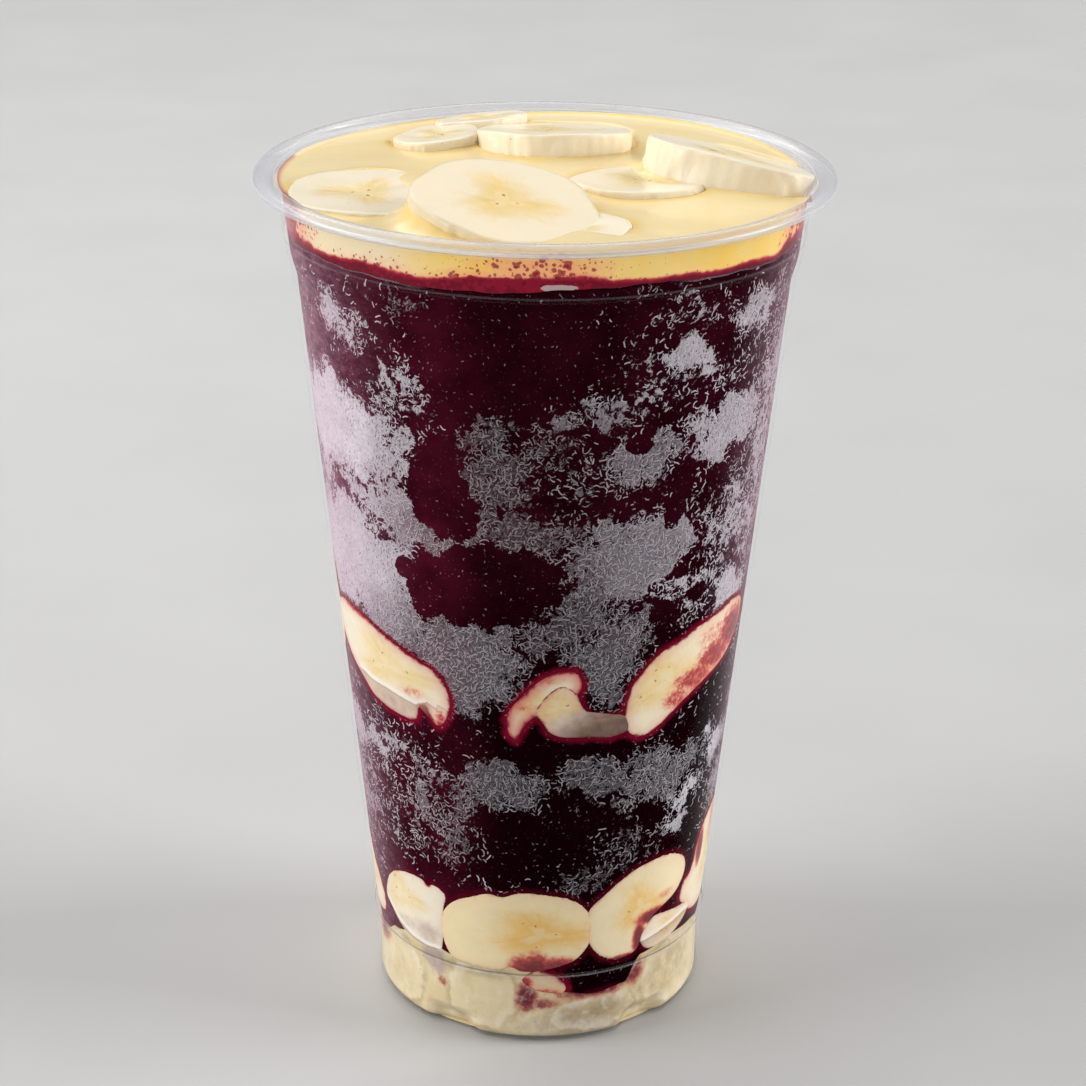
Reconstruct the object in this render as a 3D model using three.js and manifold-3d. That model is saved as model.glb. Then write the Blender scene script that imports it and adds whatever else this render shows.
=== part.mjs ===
// A tall clear plastic cup of frozen acai pulp, layered with banana slices and condensed milk.
// Millimetres, +Z up, origin under the middle of the base. Angles around the cup are in degrees,
// 0 at the front (-Y), growing towards +X.

import * as THREE from 'three';
import { mergeVertices } from 'three/addons/utils/BufferGeometryUtils.js';
import Module from 'manifold-3d';

// ---------------------------------------------------------------- driving dimensions

const GAP = 0.3;                // clearance left between touching pieces
const SIDES = 45;               // facets round the cup, so that each scallop is cut alike

const CUP_HEIGHT = 152;
const WALL = 0.8;
const RIM_RADIUS = 49;          // outside of the rolled rim
const RIM_HEIGHT = 2.3;
const RIM_UNDER_RADIUS = 44.9;  // wall where it meets the underside of the rim
const STACKING_RING = { radius: 44.1, z: 142.3 };
const SHOULDER = { lowRadius: 42.65, lowZ: 135, highRadius: 43.65, highZ: 138.3 };
const LEDGE = { radius: 30.4, z: 15.6 };
const FOOT_RADIUS = 29.75;
const FOOT_TOP = 12.4;
const BASE_CORNER = 2.5;        // rounding round the bottom edge
const BASE_RING_RADIUS = 22.5;  // inside of the ring that the cup stands on
const BASE_RECESS = 2;
const RECESS_SLOPE = 0.9;

const SCALLOPS = { count: 5, first: -32, halfWidth: 12, depth: 1.7, top: 5.4 };

const CREAM_LEVEL = 150;        // top of the condensed milk, just under the rim
const CREAM_FLOOR = 143;        // where it meets the acai
const MILK_LEVEL = 14;          // top of the condensed milk in the foot, on average
const SLICE_DEPTH = 7;          // thickness of a slice that lies against the wall
const TOP_SLICE_SIDES = 18;

const COLOURS = {
  cup: { color: 0xe4e6ea, roughness: 0.15 },
  cream: { color: 0xf0dca4, roughness: 0.3 },
  acai: { color: 0x3a1024, roughness: 0.45 },
  milk: { color: 0xddcfa8, roughness: 0.35 },
  banana: { color: 0xf3e4bd, roughness: 0.4 },
};

// ---------------------------------------------------------------- solids from geometry

const wasm = await Module();
wasm.setup();

const radians = THREE.MathUtils.degToRad;

// A closed geometry as a solid: shared corners merged, collapsed triangles dropped, faces outwards.
function solidOf(geometry) {
  const bare = geometry.clone();
  bare.deleteAttribute('normal');
  bare.deleteAttribute('uv');
  const merged = mergeVertices(bare, 1e-4);
  const vertProperties = new Float32Array(merged.attributes.position.array);
  const corners = merged.index.array;
  const kept = [];
  for (let i = 0; i < corners.length; i += 3) {
    const [a, b, c] = [corners[i], corners[i + 1], corners[i + 2]];
    if (a !== b && b !== c && c !== a) kept.push([a, b, c]);
  }
  const build = (flip) => {
    const triVerts = new Uint32Array(kept.flatMap(([a, b, c]) => (flip ? [a, c, b] : [a, b, c])));
    return new wasm.Manifold(new wasm.Mesh({ numProp: 3, vertProperties, triVerts }));
  };
  const solid = build(false);
  return solid.volume() > 0 ? solid : build(true);
}

// The biggest connected piece, so that no loose scrap is left by a cut.
function largest(solid) {
  return solid.decompose().reduce((best, piece) => (piece.volume() > best.volume() ? piece : best));
}

function geometryOf(solid) {
  const { numProp, vertProperties, triVerts } = solid.getMesh();
  const positions = [];
  for (let i = 0; i < vertProperties.length; i += numProp) {
    positions.push(vertProperties[i], vertProperties[i + 1], vertProperties[i + 2]);
  }
  const geometry = new THREE.BufferGeometry();
  geometry.setAttribute('position', new THREE.Float32BufferAttribute(positions, 3));
  geometry.setIndex(Array.from(triVerts));
  geometry.computeVertexNormals();
  return geometry;
}

const subtractAll = (solid, cutters) => cutters.reduce((rest, cutter) => rest.subtract(cutter), solid);

// ---------------------------------------------------------------- the cup's profile

const point = (radius, z) => new THREE.Vector2(radius, z);

function arc(radius, z, size, from, to, steps) {
  return Array.from({ length: steps + 1 }, (_, i) => {
    const angle = radians(from + ((to - from) * i) / steps);
    return point(radius + size * Math.cos(angle), z + size * Math.sin(angle));
  });
}

const rimUnderside = CUP_HEIGHT - RIM_HEIGHT;

// Bends of the wall from the foot's top to the rim's underside, moved inwards by an offset.
function wallBends(inwards) {
  return [
    point(FOOT_RADIUS - inwards, SCALLOPS.top),
    point(FOOT_RADIUS - inwards, FOOT_TOP),
    point(LEDGE.radius - inwards, LEDGE.z),
    point(SHOULDER.lowRadius - inwards, SHOULDER.lowZ),
    point(SHOULDER.highRadius - inwards, SHOULDER.highZ),
    point(STACKING_RING.radius - inwards, STACKING_RING.z),
    point(RIM_UNDER_RADIUS - inwards, rimUnderside),
  ];
}

// The base from the axis to the foot's wall, lifted and drawn in by an offset.
function baseBends(inwards) {
  const cornerRadius = FOOT_RADIUS - BASE_CORNER;
  const slopeShift = inwards * 0.4;
  return [
    point(0, BASE_RECESS + inwards),
    point(BASE_RING_RADIUS - RECESS_SLOPE + slopeShift, BASE_RECESS + inwards),
    point(BASE_RING_RADIUS + slopeShift, inwards),
    ...arc(cornerRadius, BASE_CORNER, BASE_CORNER - inwards, -90, 0, 2),
  ];
}

const smooth = (t) => {
  const x = THREE.MathUtils.clamp(t, 0, 1);
  return x * x * (3 - 2 * x);
};

// How far a scallop presses the foot's edge in at this angle and height.
function scallopDepth(angle, z) {
  const pitch = 360 / SCALLOPS.count;
  const turned = THREE.MathUtils.euclideanModulo(angle - SCALLOPS.first + pitch / 2, pitch) - pitch / 2;
  const across = smooth(1.35 * (1 - Math.abs(turned) / SCALLOPS.halfWidth));
  const up = smooth((SCALLOPS.top - z) / (SCALLOPS.top - BASE_CORNER));
  return SCALLOPS.depth * across * up;
}

const angleOf = (x, y) => THREE.MathUtils.radToDeg(Math.atan2(x, -y));

// A profile turned round the cup's axis, with each corner moved by a function of angle, radius and z.
function turned(profile, move = (angle, radius, z) => [radius, z]) {
  const geometry = new THREE.LatheGeometry(profile, SIDES).rotateX(Math.PI / 2);
  const positions = geometry.attributes.position;
  for (let i = 0; i < positions.count; i++) {
    const [x, y, z] = [positions.getX(i), positions.getY(i), positions.getZ(i)];
    const radius = Math.hypot(x, y);
    const onAxis = radius < 1e-6;
    const [newRadius, newZ] = move(onAxis ? 0 : angleOf(x, y), radius, z);
    const scale = onAxis ? 0 : newRadius / radius;
    positions.setXYZ(i, x * scale, y * scale, newZ);
  }
  return geometry;
}

// Moves the foot's edge in at the scallops; the filling keeps a little more room there.
const pressFoot = (share) => (angle, radius, z) => {
  const reach = smooth((radius - BASE_RING_RADIUS - RECESS_SLOPE) / RECESS_SLOPE);
  return [radius - share * reach * scallopDepth(angle, z), z];
};

function cupSolid() {
  const rimMiddle = CUP_HEIGHT - RIM_HEIGHT / 2;
  const innerRim = RIM_UNDER_RADIUS - WALL;
  const profile = [
    ...baseBends(0),
    ...wallBends(0),
    ...arc(RIM_RADIUS - RIM_HEIGHT / 2, rimMiddle, RIM_HEIGHT / 2, -90, 90, 4),
    point(innerRim + 0.9, CUP_HEIGHT),
    point(innerRim + 0.2, CUP_HEIGHT - 0.7),
    ...wallBends(WALL).reverse(),
    ...baseBends(WALL).reverse(),
  ];
  return solidOf(turned(profile, pressFoot(1)));
}

// All the room inside the cup, kept clear of its wall and open upwards past the rim. Its profile
// runs the way the cup's inside does, so that both are faceted alike.
function cavitySolid() {
  const roomTop = CUP_HEIGHT + 14;
  const clear = WALL + GAP;
  const bends = [...baseBends(clear), ...wallBends(clear)];
  const profile = [...bends, point(bends.at(-1).x, roomTop), point(0, roomTop)].reverse();
  return solidOf(turned(profile, pressFoot(1.1)));
}

// Inner radius of the filling at a height.
function fillRadius(z) {
  const bends = [point(FOOT_RADIUS - WALL - GAP, 0), ...wallBends(WALL + GAP)];
  const above = bends.findIndex((bend) => bend.y > z);
  if (above < 0) return bends.at(-1).x;
  const [low, high] = [bends[above - 1], bends[above]];
  return THREE.MathUtils.mapLinear(z, low.y, high.y, low.x, high.x);
}

// ---------------------------------------------------------------- the layers

// Height of a wavy boundary at the wall: the stops are [angle, z], joined smoothly round the cup.
function heightRound(stops, angle) {
  const at = THREE.MathUtils.euclideanModulo(angle - stops[0][0], 360) + stops[0][0];
  const closed = [...stops, [stops[0][0] + 360, stops[0][1]]];
  const next = Math.max(1, closed.findIndex(([stop]) => stop > at));
  const [[fromAngle, fromZ], [toAngle, toZ]] = [closed[next - 1], closed[next]];
  return fromZ + (toZ - fromZ) * smooth((at - fromAngle) / (toAngle - fromAngle));
}

// The milk in the foot climbs between slices and the acai sinks into it where the stops dip.
const MILK_STOPS = [
  [-180, 13], [-150, 9], [-120, 14], [-92, 17], [-66, 13], [-45, 17.5], [-30, 14.5], [-4, 14],
  [6, 8], [34, 8], [44, 14], [52, 16], [66, 15], [84, 13], [108, 9], [140, 14],
];

const milkTop = (angle, radius) => {
  const share = smooth((radius - FOOT_RADIUS / 2) / (FOOT_RADIUS / 2));
  return MILK_LEVEL + share * (heightRound(MILK_STOPS, angle) - MILK_LEVEL);
};

const creamFloor = (angle, radius) => {
  const wave = 0.5 * Math.sin(radians(2 * angle + 40)) + 0.35 * Math.sin(radians(5 * angle));
  return CREAM_FLOOR + (wave * radius) / RIM_UNDER_RADIUS;
};

const creamTop = (angle, radius) => {
  const swell = 0.35 * Math.sin(radians(3 * angle + 20)) + 0.25 * Math.cos(radians(2 * angle));
  return CREAM_LEVEL + (swell * radius) / RIM_UNDER_RADIUS;
};

// Everything from a floor up to a wavy top, out to a radius that is wider than the filling.
function under(height, floor, outside, lift = 0) {
  const level = CUP_HEIGHT;
  const rings = [1, 0.75, 0].map((share) => point(outside * share, level));
  const profile = [point(0, floor), point(outside, floor), ...rings];
  const raise = (angle, radius, z) => [radius, z === level ? height(angle, radius) + lift : z];
  return solidOf(turned(profile, raise));
}

// ---------------------------------------------------------------- banana slices

// A slice's outline: an oval with the faint corners of a banana's section, widened by extra.
function sliceOutline(halfWidth, halfHeight, turn, sides, extra) {
  const corners = Array.from({ length: sides }, (_, i) => {
    const angle = (2 * Math.PI * i) / sides;
    const bulge = 1 + 0.022 * Math.cos(5 * angle + halfWidth * 3) + 0.02 * Math.cos(3 * angle + halfHeight);
    const across = (halfWidth * bulge + extra) * Math.cos(angle);
    const up = (halfHeight * bulge + extra) * Math.sin(angle);
    return point(across, up).rotateAround(point(0, 0), radians(turn));
  });
  return new THREE.Shape(corners);
}

// A slice pressed against the wall: at is its angle round the cup, roll lifts its right-hand end.
function wallSlice({ at, z, halfWidth, halfHeight, roll = 0, depth = SLICE_DEPTH, sides = 13 }) {
  const build = (extra) => {
    const outline = sliceOutline(halfWidth, halfHeight, roll, sides, extra);
    const length = depth + 6;
    const geometry = new THREE.ExtrudeGeometry(outline, { depth: length + extra, bevelEnabled: false });
    const angle = radians(at);
    const across = new THREE.Vector3(Math.cos(angle), Math.sin(angle), 0);
    const up = new THREE.Vector3(0, 0, 1);
    const outwards = new THREE.Vector3(Math.sin(angle), -Math.cos(angle), 0);
    const place = new THREE.Matrix4().makeBasis(across, up, outwards);
    place.setPosition(outwards.clone().multiplyScalar(fillRadius(z) - depth - extra).setZ(z));
    return solidOf(geometry.applyMatrix4(place));
  };
  return { body: build(0), room: build(1.1 * GAP) };
}

// A slice lying on the condensed milk: x, y and z place the middle of its upper face, turn points
// its long axis, and rise is how many degrees its face climbs towards +X and +Y.
function topSlice({ x, y, z, halfLong, halfShort, turn = 0, rise = [0, 0], thickness = 6 }) {
  const build = (extra) => {
    const outline = sliceOutline(halfLong, halfShort, turn, TOP_SLICE_SIDES, extra);
    const options = { depth: thickness + 2 * extra, bevelEnabled: false };
    const geometry = new THREE.ExtrudeGeometry(outline, options).translate(0, 0, -thickness - extra);
    geometry.rotateX(radians(rise[1])).rotateY(radians(-rise[0])).translate(x, y, z);
    return solidOf(geometry);
  };
  return { body: build(0), room: build(1.1 * GAP) };
}

// Slices in one row: each is cut to leave room for those before it and for the given neighbours.
function row(makers, specs, neighbours = []) {
  const placed = [];
  for (const spec of specs) {
    const slice = makers(spec);
    const rooms = [...neighbours, ...placed].map((other) => other.room);
    placed.push({ ...slice, cut: largest(subtractAll(slice.body, rooms).intersect(cavity)) });
  }
  return placed;
}

// Round the back the slices follow the same spacing with small seeded changes.
function scatter(angles, base, seed) {
  let state = seed;
  const draw = (low, high) => {
    state = (state * 1103515245 + 12345) % 2147483648;
    return low + ((high - low) * state) / 2147483648;
  };
  return angles.map((at) => ({
    ...base,
    at: at + draw(-3, 3),
    z: base.z + draw(-1.5, 1.5),
    halfWidth: base.halfWidth * draw(0.92, 1.06),
    halfHeight: base.halfHeight * draw(0.9, 1.08),
    roll: draw(-14, 14),
  }));
}

const TOP_SLICES = [
  { x: -6, y: -26.5, z: 153.4, halfLong: 15.2, halfShort: 14.8, rise: [-9, 10.5], thickness: 6 },
  { x: 1.5, y: 26.6, z: 151.9, halfLong: 13.5, halfShort: 13, rise: [0, -9.5], thickness: 5.5 },
  { x: 31, y: 9.4, z: 154.2, halfLong: 15.4, halfShort: 10.6, turn: -43, rise: [-7, -7], thickness: 6.5 },
  { x: -29.6, y: -12, z: 150.7, halfLong: 14.6, halfShort: 12.4, turn: 75, thickness: 5 },
  { x: 16.2, y: -1.2, z: 151, halfLong: 11.6, halfShort: 11.2, rise: [0, -3], thickness: 4.5 },
  { x: -19.6, y: 20.6, z: 151.6, halfLong: 9, halfShort: 6.8, turn: 65, rise: [5, 3], thickness: 4.5 },
  { x: -11.6, y: 35.4, z: 152, halfLong: 8.6, halfShort: 4.6, turn: 22, rise: [4, -4], thickness: 4.5 },
  { x: 3.5, y: -31.5, z: 150.6, halfLong: 12.4, halfShort: 10.4, turn: 12, rise: [2, 0], thickness: 5 },
];

const MIDDLE_SLICES = [
  { at: -48, z: 70.6, halfWidth: 14.8, halfHeight: 6.4, roll: -15 },
  { at: 51, z: 70.2, halfWidth: 16.2, halfHeight: 6.2, roll: 17 },
  { at: 9, z: 66.6, halfWidth: 9.6, halfHeight: 4.4, roll: -12, depth: 5.5 },
  { at: 0, z: 67.4, halfWidth: 8.4, halfHeight: 7.6, roll: 22, depth: 6.5 },
  { at: -90, z: 73.5, halfWidth: 8.6, halfHeight: 9.4, roll: 0 },
  ...scatter([112, 156, 205, 243], { z: 70, halfWidth: 13, halfHeight: 7 }, 11),
];

const LOWER_SLICES = [
  { at: -9.5, z: 23.4, halfWidth: 14.2, halfHeight: 8.2, roll: 0 },
  { at: 50, z: 19.4, halfWidth: 7.6, halfHeight: 3.4, roll: 24, depth: 5, sides: 10 },
  { at: 43, z: 25, halfWidth: 14.6, halfHeight: 7.9, roll: 14 },
  { at: -49, z: 23, halfWidth: 9, halfHeight: 7.2, roll: -10 },
  { at: -83, z: 25.5, halfWidth: 7, halfHeight: 8.6, roll: 0 },
  { at: 87, z: 26.5, halfWidth: 8.6, halfHeight: 8.4, roll: 10 },
  ...scatter([132, 178, 226], { z: 24, halfWidth: 12.6, halfHeight: 7.8 }, 5),
];

const FOOT_SLICES = [
  { at: -60, z: 8.4, halfWidth: 7.2, halfHeight: 5.6, depth: 5, sides: 10 },
  { at: -24, z: 8.6, halfWidth: 8.4, halfHeight: 5.6, depth: 5, sides: 10 },
  { at: 1.5, z: 10.6, halfWidth: 3.4, halfHeight: 2.6, depth: 4, sides: 10 },
  { at: 21, z: 4.4, halfWidth: 9.2, halfHeight: 2.4, depth: 4, sides: 10 },
  { at: 60, z: 8.6, halfWidth: 9.4, halfHeight: 5.4, depth: 5, sides: 10 },
  ...scatter([101, 140, 181, 222, 262], { z: 8.2, halfWidth: 8.4, halfHeight: 4.9, depth: 5, sides: 10 }, 3),
];

// ---------------------------------------------------------------- the pieces

const cavity = cavitySolid();
const topRow = row(topSlice, TOP_SLICES);
const middleRow = row(wallSlice, MIDDLE_SLICES);
const lowerRow = row(wallSlice, LOWER_SLICES);
const footRow = row(wallSlice, FOOT_SLICES, lowerRow);

const rooms = (...rows) => rows.flat().map((slice) => slice.room);

const layer = (top, floor) => cavity.intersect(top).subtract(floor);
const cream = layer(under(creamTop, 0, RIM_RADIUS), under(creamFloor, -1, RIM_RADIUS, GAP / 2));
const acai = layer(under(creamFloor, 0, RIM_RADIUS, -GAP / 2), under(milkTop, -1, LEDGE.radius, GAP / 2));
const milk = cavity.intersect(under(milkTop, 0, LEDGE.radius, -GAP / 2));

const cup = new THREE.Group();

function add(name, solid, finish) {
  const material = new THREE.MeshStandardMaterial({ metalness: 0, ...COLOURS[finish] });
  const mesh = new THREE.Mesh(geometryOf(solid), material);
  mesh.name = name;
  cup.add(mesh);
}

add('cup', cupSolid(), 'cup');
add('cream', largest(subtractAll(cream, rooms(topRow))), 'cream');
add('acai', largest(subtractAll(acai, rooms(topRow, middleRow, lowerRow, footRow))), 'acai');
add('milk_base', largest(subtractAll(milk, rooms(lowerRow, footRow))), 'milk');

const rows = { top_slice: topRow, middle_slice: middleRow, lower_slice: lowerRow, foot_slice: footRow };
for (const [label, slices] of Object.entries(rows)) {
  slices.forEach((slice, i) => add(`${label}_${i + 1}`, slice.cut, 'banana'));
}

export default cup;
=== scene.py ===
import math
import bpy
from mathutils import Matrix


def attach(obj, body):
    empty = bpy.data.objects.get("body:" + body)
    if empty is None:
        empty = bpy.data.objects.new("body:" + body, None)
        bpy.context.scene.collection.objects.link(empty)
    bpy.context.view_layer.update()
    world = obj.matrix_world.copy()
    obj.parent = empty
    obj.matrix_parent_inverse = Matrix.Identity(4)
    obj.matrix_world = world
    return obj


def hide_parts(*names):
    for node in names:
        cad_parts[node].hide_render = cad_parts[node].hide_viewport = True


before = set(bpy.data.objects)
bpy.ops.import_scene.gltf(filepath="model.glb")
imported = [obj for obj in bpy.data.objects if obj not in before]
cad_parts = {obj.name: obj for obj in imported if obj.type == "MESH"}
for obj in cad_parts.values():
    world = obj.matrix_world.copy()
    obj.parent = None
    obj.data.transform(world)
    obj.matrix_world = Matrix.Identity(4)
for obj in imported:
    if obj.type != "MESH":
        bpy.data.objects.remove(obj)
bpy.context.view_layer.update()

from types import SimpleNamespace

import bpy
import numpy as np
from bpy.props import FloatProperty, FloatVectorProperty, PointerProperty
from mathutils import Quaternion, Vector

# A clear cup of frozen acai pulp with banana slices and condensed milk.
# Lengths are in millimetres until a mesh is written, and in metres in the properties and on the stage.
# An angle round the cup is in degrees, 0 at the front (-Y) and growing towards +X.

bl_info = {
    "name": "Acai cup",
    "version": (1, 0, 0),
    "blender": (4, 5, 0),
    "location": "View3D > Sidebar > Acai cup",
    "description": "Models a filled acai cup around its packed solids",
    "category": "Object",
}

MM = 0.001
BODY = "root"

# ---------------------------------------------------------------- sizes that the solids set too

# Outer radius and height of each bend of the wall, from the foot to the rim's lip.
WALL_BENDS = ((29.75, 5.4), (29.75, 12.4), (30.4, 15.6), (42.65, 135), (43.65, 138.3), (44.1, 142.3),
              (44.9, 149.7), (46.1, 151.3))
BEND_SOFTNESS = 0.9                          # how far each bend of the wall is rounded, up and down
CORNER_CENTRE = (27.25, 2.5)                 # rounding round the bottom edge: radius and height
BASE_RING_RADIUS = 22.5
RECESS_TOP = 2.0
RECESS_SLOPE = 0.9
RING_HEIGHT = 142.3
SHOULDER_HEIGHT = 133.5
LEDGE_HEIGHT = 14.5
RIM_UNDERSIDE = 149.7
LIP_HEIGHT = 151.1
SCALLOPS = {"pitch": 72, "first": -32, "half_width": 12, "depth": 1.7, "top": 5.4}

# Where the milk in the foot ends at the wall: (angle, height).
MILK_STOPS = ((-180, 13), (-150, 9), (-120, 14), (-92, 15.4), (-78, 12), (-68, 13), (-60, 15.2),
              (-45, 17.5), (-30, 15.5), (-8, 15.4), (-2, 14.4), (8, 10), (20, 9), (32, 9.8), (38, 14.8),
              (52, 16), (66, 15.4), (84, 13), (108, 9), (140, 14), (180, 13))

MILK_REACH = 0.06        # how far condensed milk reaches into the cup's wall, so that it looks wet there

# ---------------------------------------------------------------- what a user can change


def tint(red, green, blue):
    """A display colour, 0 to 255 a channel, as the linear values that shaders use."""
    channels = (c / 255 for c in (red, green, blue))
    return tuple(c / 12.92 if c <= 0.04045 else ((c + 0.055) / 1.055) ** 2.4 for c in channels)


def length(name, description, default):
    """A size, given in millimetres and kept in metres."""
    return FloatProperty(name=name, description=description, default=default * MM, min=0.0,
                         subtype="DISTANCE", unit="LENGTH", precision=5)


def angle_size(name, description, default):
    """An angle, given in degrees and kept in radians."""
    return FloatProperty(name=name, description=description, default=math.radians(default),
                         subtype="ANGLE", unit="ROTATION")


def colour(name, description, *display):
    """A colour, given as 0 to 255 a channel."""
    return FloatVectorProperty(name=name, description=description, subtype="COLOR", size=3, min=0, max=1,
                               default=tint(*display))


def millimetres(group):
    """The lengths of a group of properties, in millimetres."""
    return SimpleNamespace(**{name: getattr(group, name) / MM for name in group.__annotations__})


class CupSizes(bpy.types.PropertyGroup):
    """Sizes of the plastic cup."""

    height: length("Height", "From the table to the top of the rim", 152)
    wall: length("Wall", "Thickness of the plastic", 0.8)
    rim_radius: length("Rim radius", "Outside of the rolled rim", 49)
    rim_height: length("Rim height", "Height of the rolled rim", 2.3)
    ring_ridge: length("Ring ridge", "How far the stacking ring stands proud", 0.16)
    shoulder_ridge: length("Shoulder ridge", "How far the line under the shoulder stands proud", 0.14)


class FillingSizes(bpy.types.PropertyGroup):
    """Sizes of what fills the cup."""

    cream_level: length("Cream level", "Height of the condensed milk's surface", 150)
    cream_floor: length("Cream floor", "Height where the condensed milk meets the pulp", 143)
    meniscus: length("Meniscus", "How far the condensed milk climbs up what it touches", 0.9)
    reach: length("Reach", "How far the pulp reaches into the cup's wall", 0.04)


class FoodColours(bpy.types.PropertyGroup):
    """Colours of the food."""

    pulp: colour("Pulp", "Acai pulp against the wall", 15, 1, 4)
    # A lit copy of the pulp's colour, for painted light.
    painted_lit_pulp: colour("Light pulp", "Acai pulp where it is thin or lit", 78, 17, 36)
    frost: colour("Frost", "Ice crystals on the inside of the wall", 238, 231, 238)
    juice: colour("Juice", "Acai juice that stains what it touches", 132, 18, 46)
    cream: colour("Cream", "Condensed milk", 240, 216, 160)
    # Deep cream is partly deeper milk and partly painted shade beside the slices.
    cream_deep: colour("Deep cream", "Condensed milk where it is deep", 240, 200, 104)
    milk: colour("Milk", "Condensed milk in the foot", 234, 217, 176)
    flesh: colour("Flesh", "Banana flesh near the skin", 250, 240, 222)
    core: colour("Core", "Banana flesh in the middle", 242, 210, 122)
    seed: colour("Seed", "Banana seeds", 96, 66, 34)
    plastic: colour("Plastic", "Milky plastic of the rim", 224, 225, 230)


class StageSizes(bpy.types.PropertyGroup):
    """Where the camera stands."""

    distance: length("Distance", "From the cup's axis to the camera, along the table", 477.5)
    camera_height: length("Camera height", "Above the table", 275.0)
    camera_aside: length("Camera aside", "From the cup's axis towards +X", 0.2)
    pitch: angle_size("Pitch", "How far the camera looks down", 21.79)
    roll: angle_size("Roll", "How far the camera leans", 0.52)
    lens: FloatProperty(name="Lens", description="Focal length", default=96.79, unit="CAMERA")


# ---------------------------------------------------------------- round the cup


def smooth(t):
    """0 below 0, 1 above 1 and an even ramp between."""
    x = np.clip(t, 0.0, 1.0)
    return x * x * (3 - 2 * x)


def place(angle, radius, height):
    """Points from angles in degrees, radii and heights."""
    turn = np.radians(angle)
    return np.stack([radius * np.sin(turn), -radius * np.cos(turn), height + 0 * turn], axis=-1)


def turn_between(angle, start):
    """Degrees from start to angle, between -180 and 180."""
    return (angle - start + 180) % 360 - 180


def scallop_depth(angle, height):
    """How far a scallop presses the foot's edge in."""
    s = SCALLOPS
    off = (angle - s["first"] + s["pitch"] / 2) % s["pitch"] - s["pitch"] / 2
    across = smooth(1.35 * (1 - np.abs(off) / s["half_width"]))
    return s["depth"] * across * smooth((s["top"] - height) / (s["top"] - CORNER_CENTRE[1]))


def outer_radius(height):
    """Radius of the cup's outer face above its bottom corner, without scallops and ring."""
    radii, heights = zip(*WALL_BENDS)
    steps = np.linspace(-BEND_SOFTNESS, BEND_SOFTNESS, 5)
    return sum(np.interp(height + step, heights, radii) for step in steps) / len(steps)


def inner_radius(angle, height):
    """Radius of the cup's inner face, down to the inside of its bottom corner."""
    wall = bpy.context.scene.acai_cup.wall / MM
    corner_radius, corner_height = CORNER_CENTRE
    inside = WALL_BENDS[0][0] - wall - corner_radius
    drop = np.clip((corner_height - height) / inside, 0, 1)
    radius = np.where(height > corner_height, outer_radius(height) - wall,
                      corner_radius + inside * np.sqrt(1 - drop ** 2))
    return radius - scallop_depth(angle, height)


def milk_top(angle):
    """Height at the wall where the milk in the foot meets the pulp."""
    angles, heights = (np.array(row, float) for row in zip(*MILK_STOPS))
    at = turn_between(angle, 0)
    after = np.clip(np.searchsorted(angles, at, side="right"), 1, len(angles) - 1)
    share = smooth((at - angles[after - 1]) / (angles[after] - angles[after - 1]))
    return heights[after - 1] + share * (heights[after] - heights[after - 1])


def wave(angle, *terms):
    """A sum of sines round the cup, from (size, repeats, phase in degrees)."""
    return sum(size * np.sin(np.radians(repeats * angle + phase)) for size, repeats, phase in terms)


def cream_floor(angle):
    """Height at the wall where the condensed milk meets the pulp."""
    floor = bpy.context.scene.acai_filling.cream_floor / MM
    return floor + wave(angle, (0.5, 2, 40), (0.35, 5, 0), (0.12, 17, 30), (0.08, 41, 0))


def cream_level(angle, radius):
    """Height of the condensed milk's surface away from slices."""
    swell = wave(angle, (0.35, 3, 20), (0.25, 2, 90))
    return bpy.context.scene.acai_filling.cream_level / MM + swell * radius / WALL_BENDS[-1][0]


# ---------------------------------------------------------------- outlines


def closed_curve(points, count):
    """A smooth closed curve through the points, at even steps along its length."""
    b = np.array(points, float)[:, None, :]
    a, c, d = (np.roll(b, shift, 0) for shift in (1, -1, -2))
    t = np.linspace(0, 1, 12, endpoint=False)[None, :, None]
    second, third = 2 * a - 5 * b + 4 * c - d, 3 * b - a - 3 * c + d
    fine = 0.5 * (2 * b + (c - a) * t + second * t ** 2 + third * t ** 3)
    loop = np.vstack([fine.reshape(-1, 2), fine[:1, 0]])
    along = np.concatenate([[0], np.cumsum(np.hypot(*np.diff(loop, axis=0).T))])
    at = np.linspace(0, along[-1], count, endpoint=False)
    return np.column_stack([np.interp(at, along, loop[:, i]) for i in (0, 1)])


def outline_distance(points, outline):
    """Distance from each point to a closed outline, negative inside it."""
    start, end = outline, np.roll(outline, -1, 0)
    edge = end - start
    offset = points[:, None, :] - start
    share = np.clip((offset * edge).sum(2) / (edge ** 2).sum(1), 0, 1)
    gap = np.linalg.norm(offset - share[..., None] * edge, axis=2).min(1)
    x, y = points[:, :1], points[:, 1:]
    spans = (start[:, 1] > y) != (end[:, 1] > y)
    rise = np.where(edge[:, 1] == 0, 1, edge[:, 1])
    crosses = spans & (x < start[:, 0] + edge[:, 0] * (y - start[:, 1]) / rise)
    return np.where(crosses.sum(1) % 2 == 1, -gap, gap)


def path_distance(points, path):
    """Distance from each point to an open path, negative below it."""
    start = path[:-1]
    edge = path[1:] - start
    offset = points[:, None, :] - start
    share = np.clip((offset * edge).sum(2) / (edge ** 2).sum(1), 0, 1)
    away = offset - share[..., None] * edge
    gap = np.linalg.norm(away, axis=2)
    nearest = gap.argmin(1)
    rows = np.arange(len(points))
    return gap[rows, nearest] * np.sign(away[rows, nearest, 1])


def near_outline(points, outline, reach, far):
    """outline_distance for the points within reach of the outline, and far for the rest."""
    low, high = outline.min(0) - reach, outline.max(0) + reach
    close = ((points > low) & (points < high)).all(1)
    distance = np.full(len(points), float(far))
    if close.any():
        distance[close] = outline_distance(points[close], outline)
    return distance


# ---------------------------------------------------------------- meshes


SHARP_EDGE = 55          # degrees past which an edge stays sharp
SEAM_WIDTH = 1e-6        # metres within which corners are one


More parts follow.
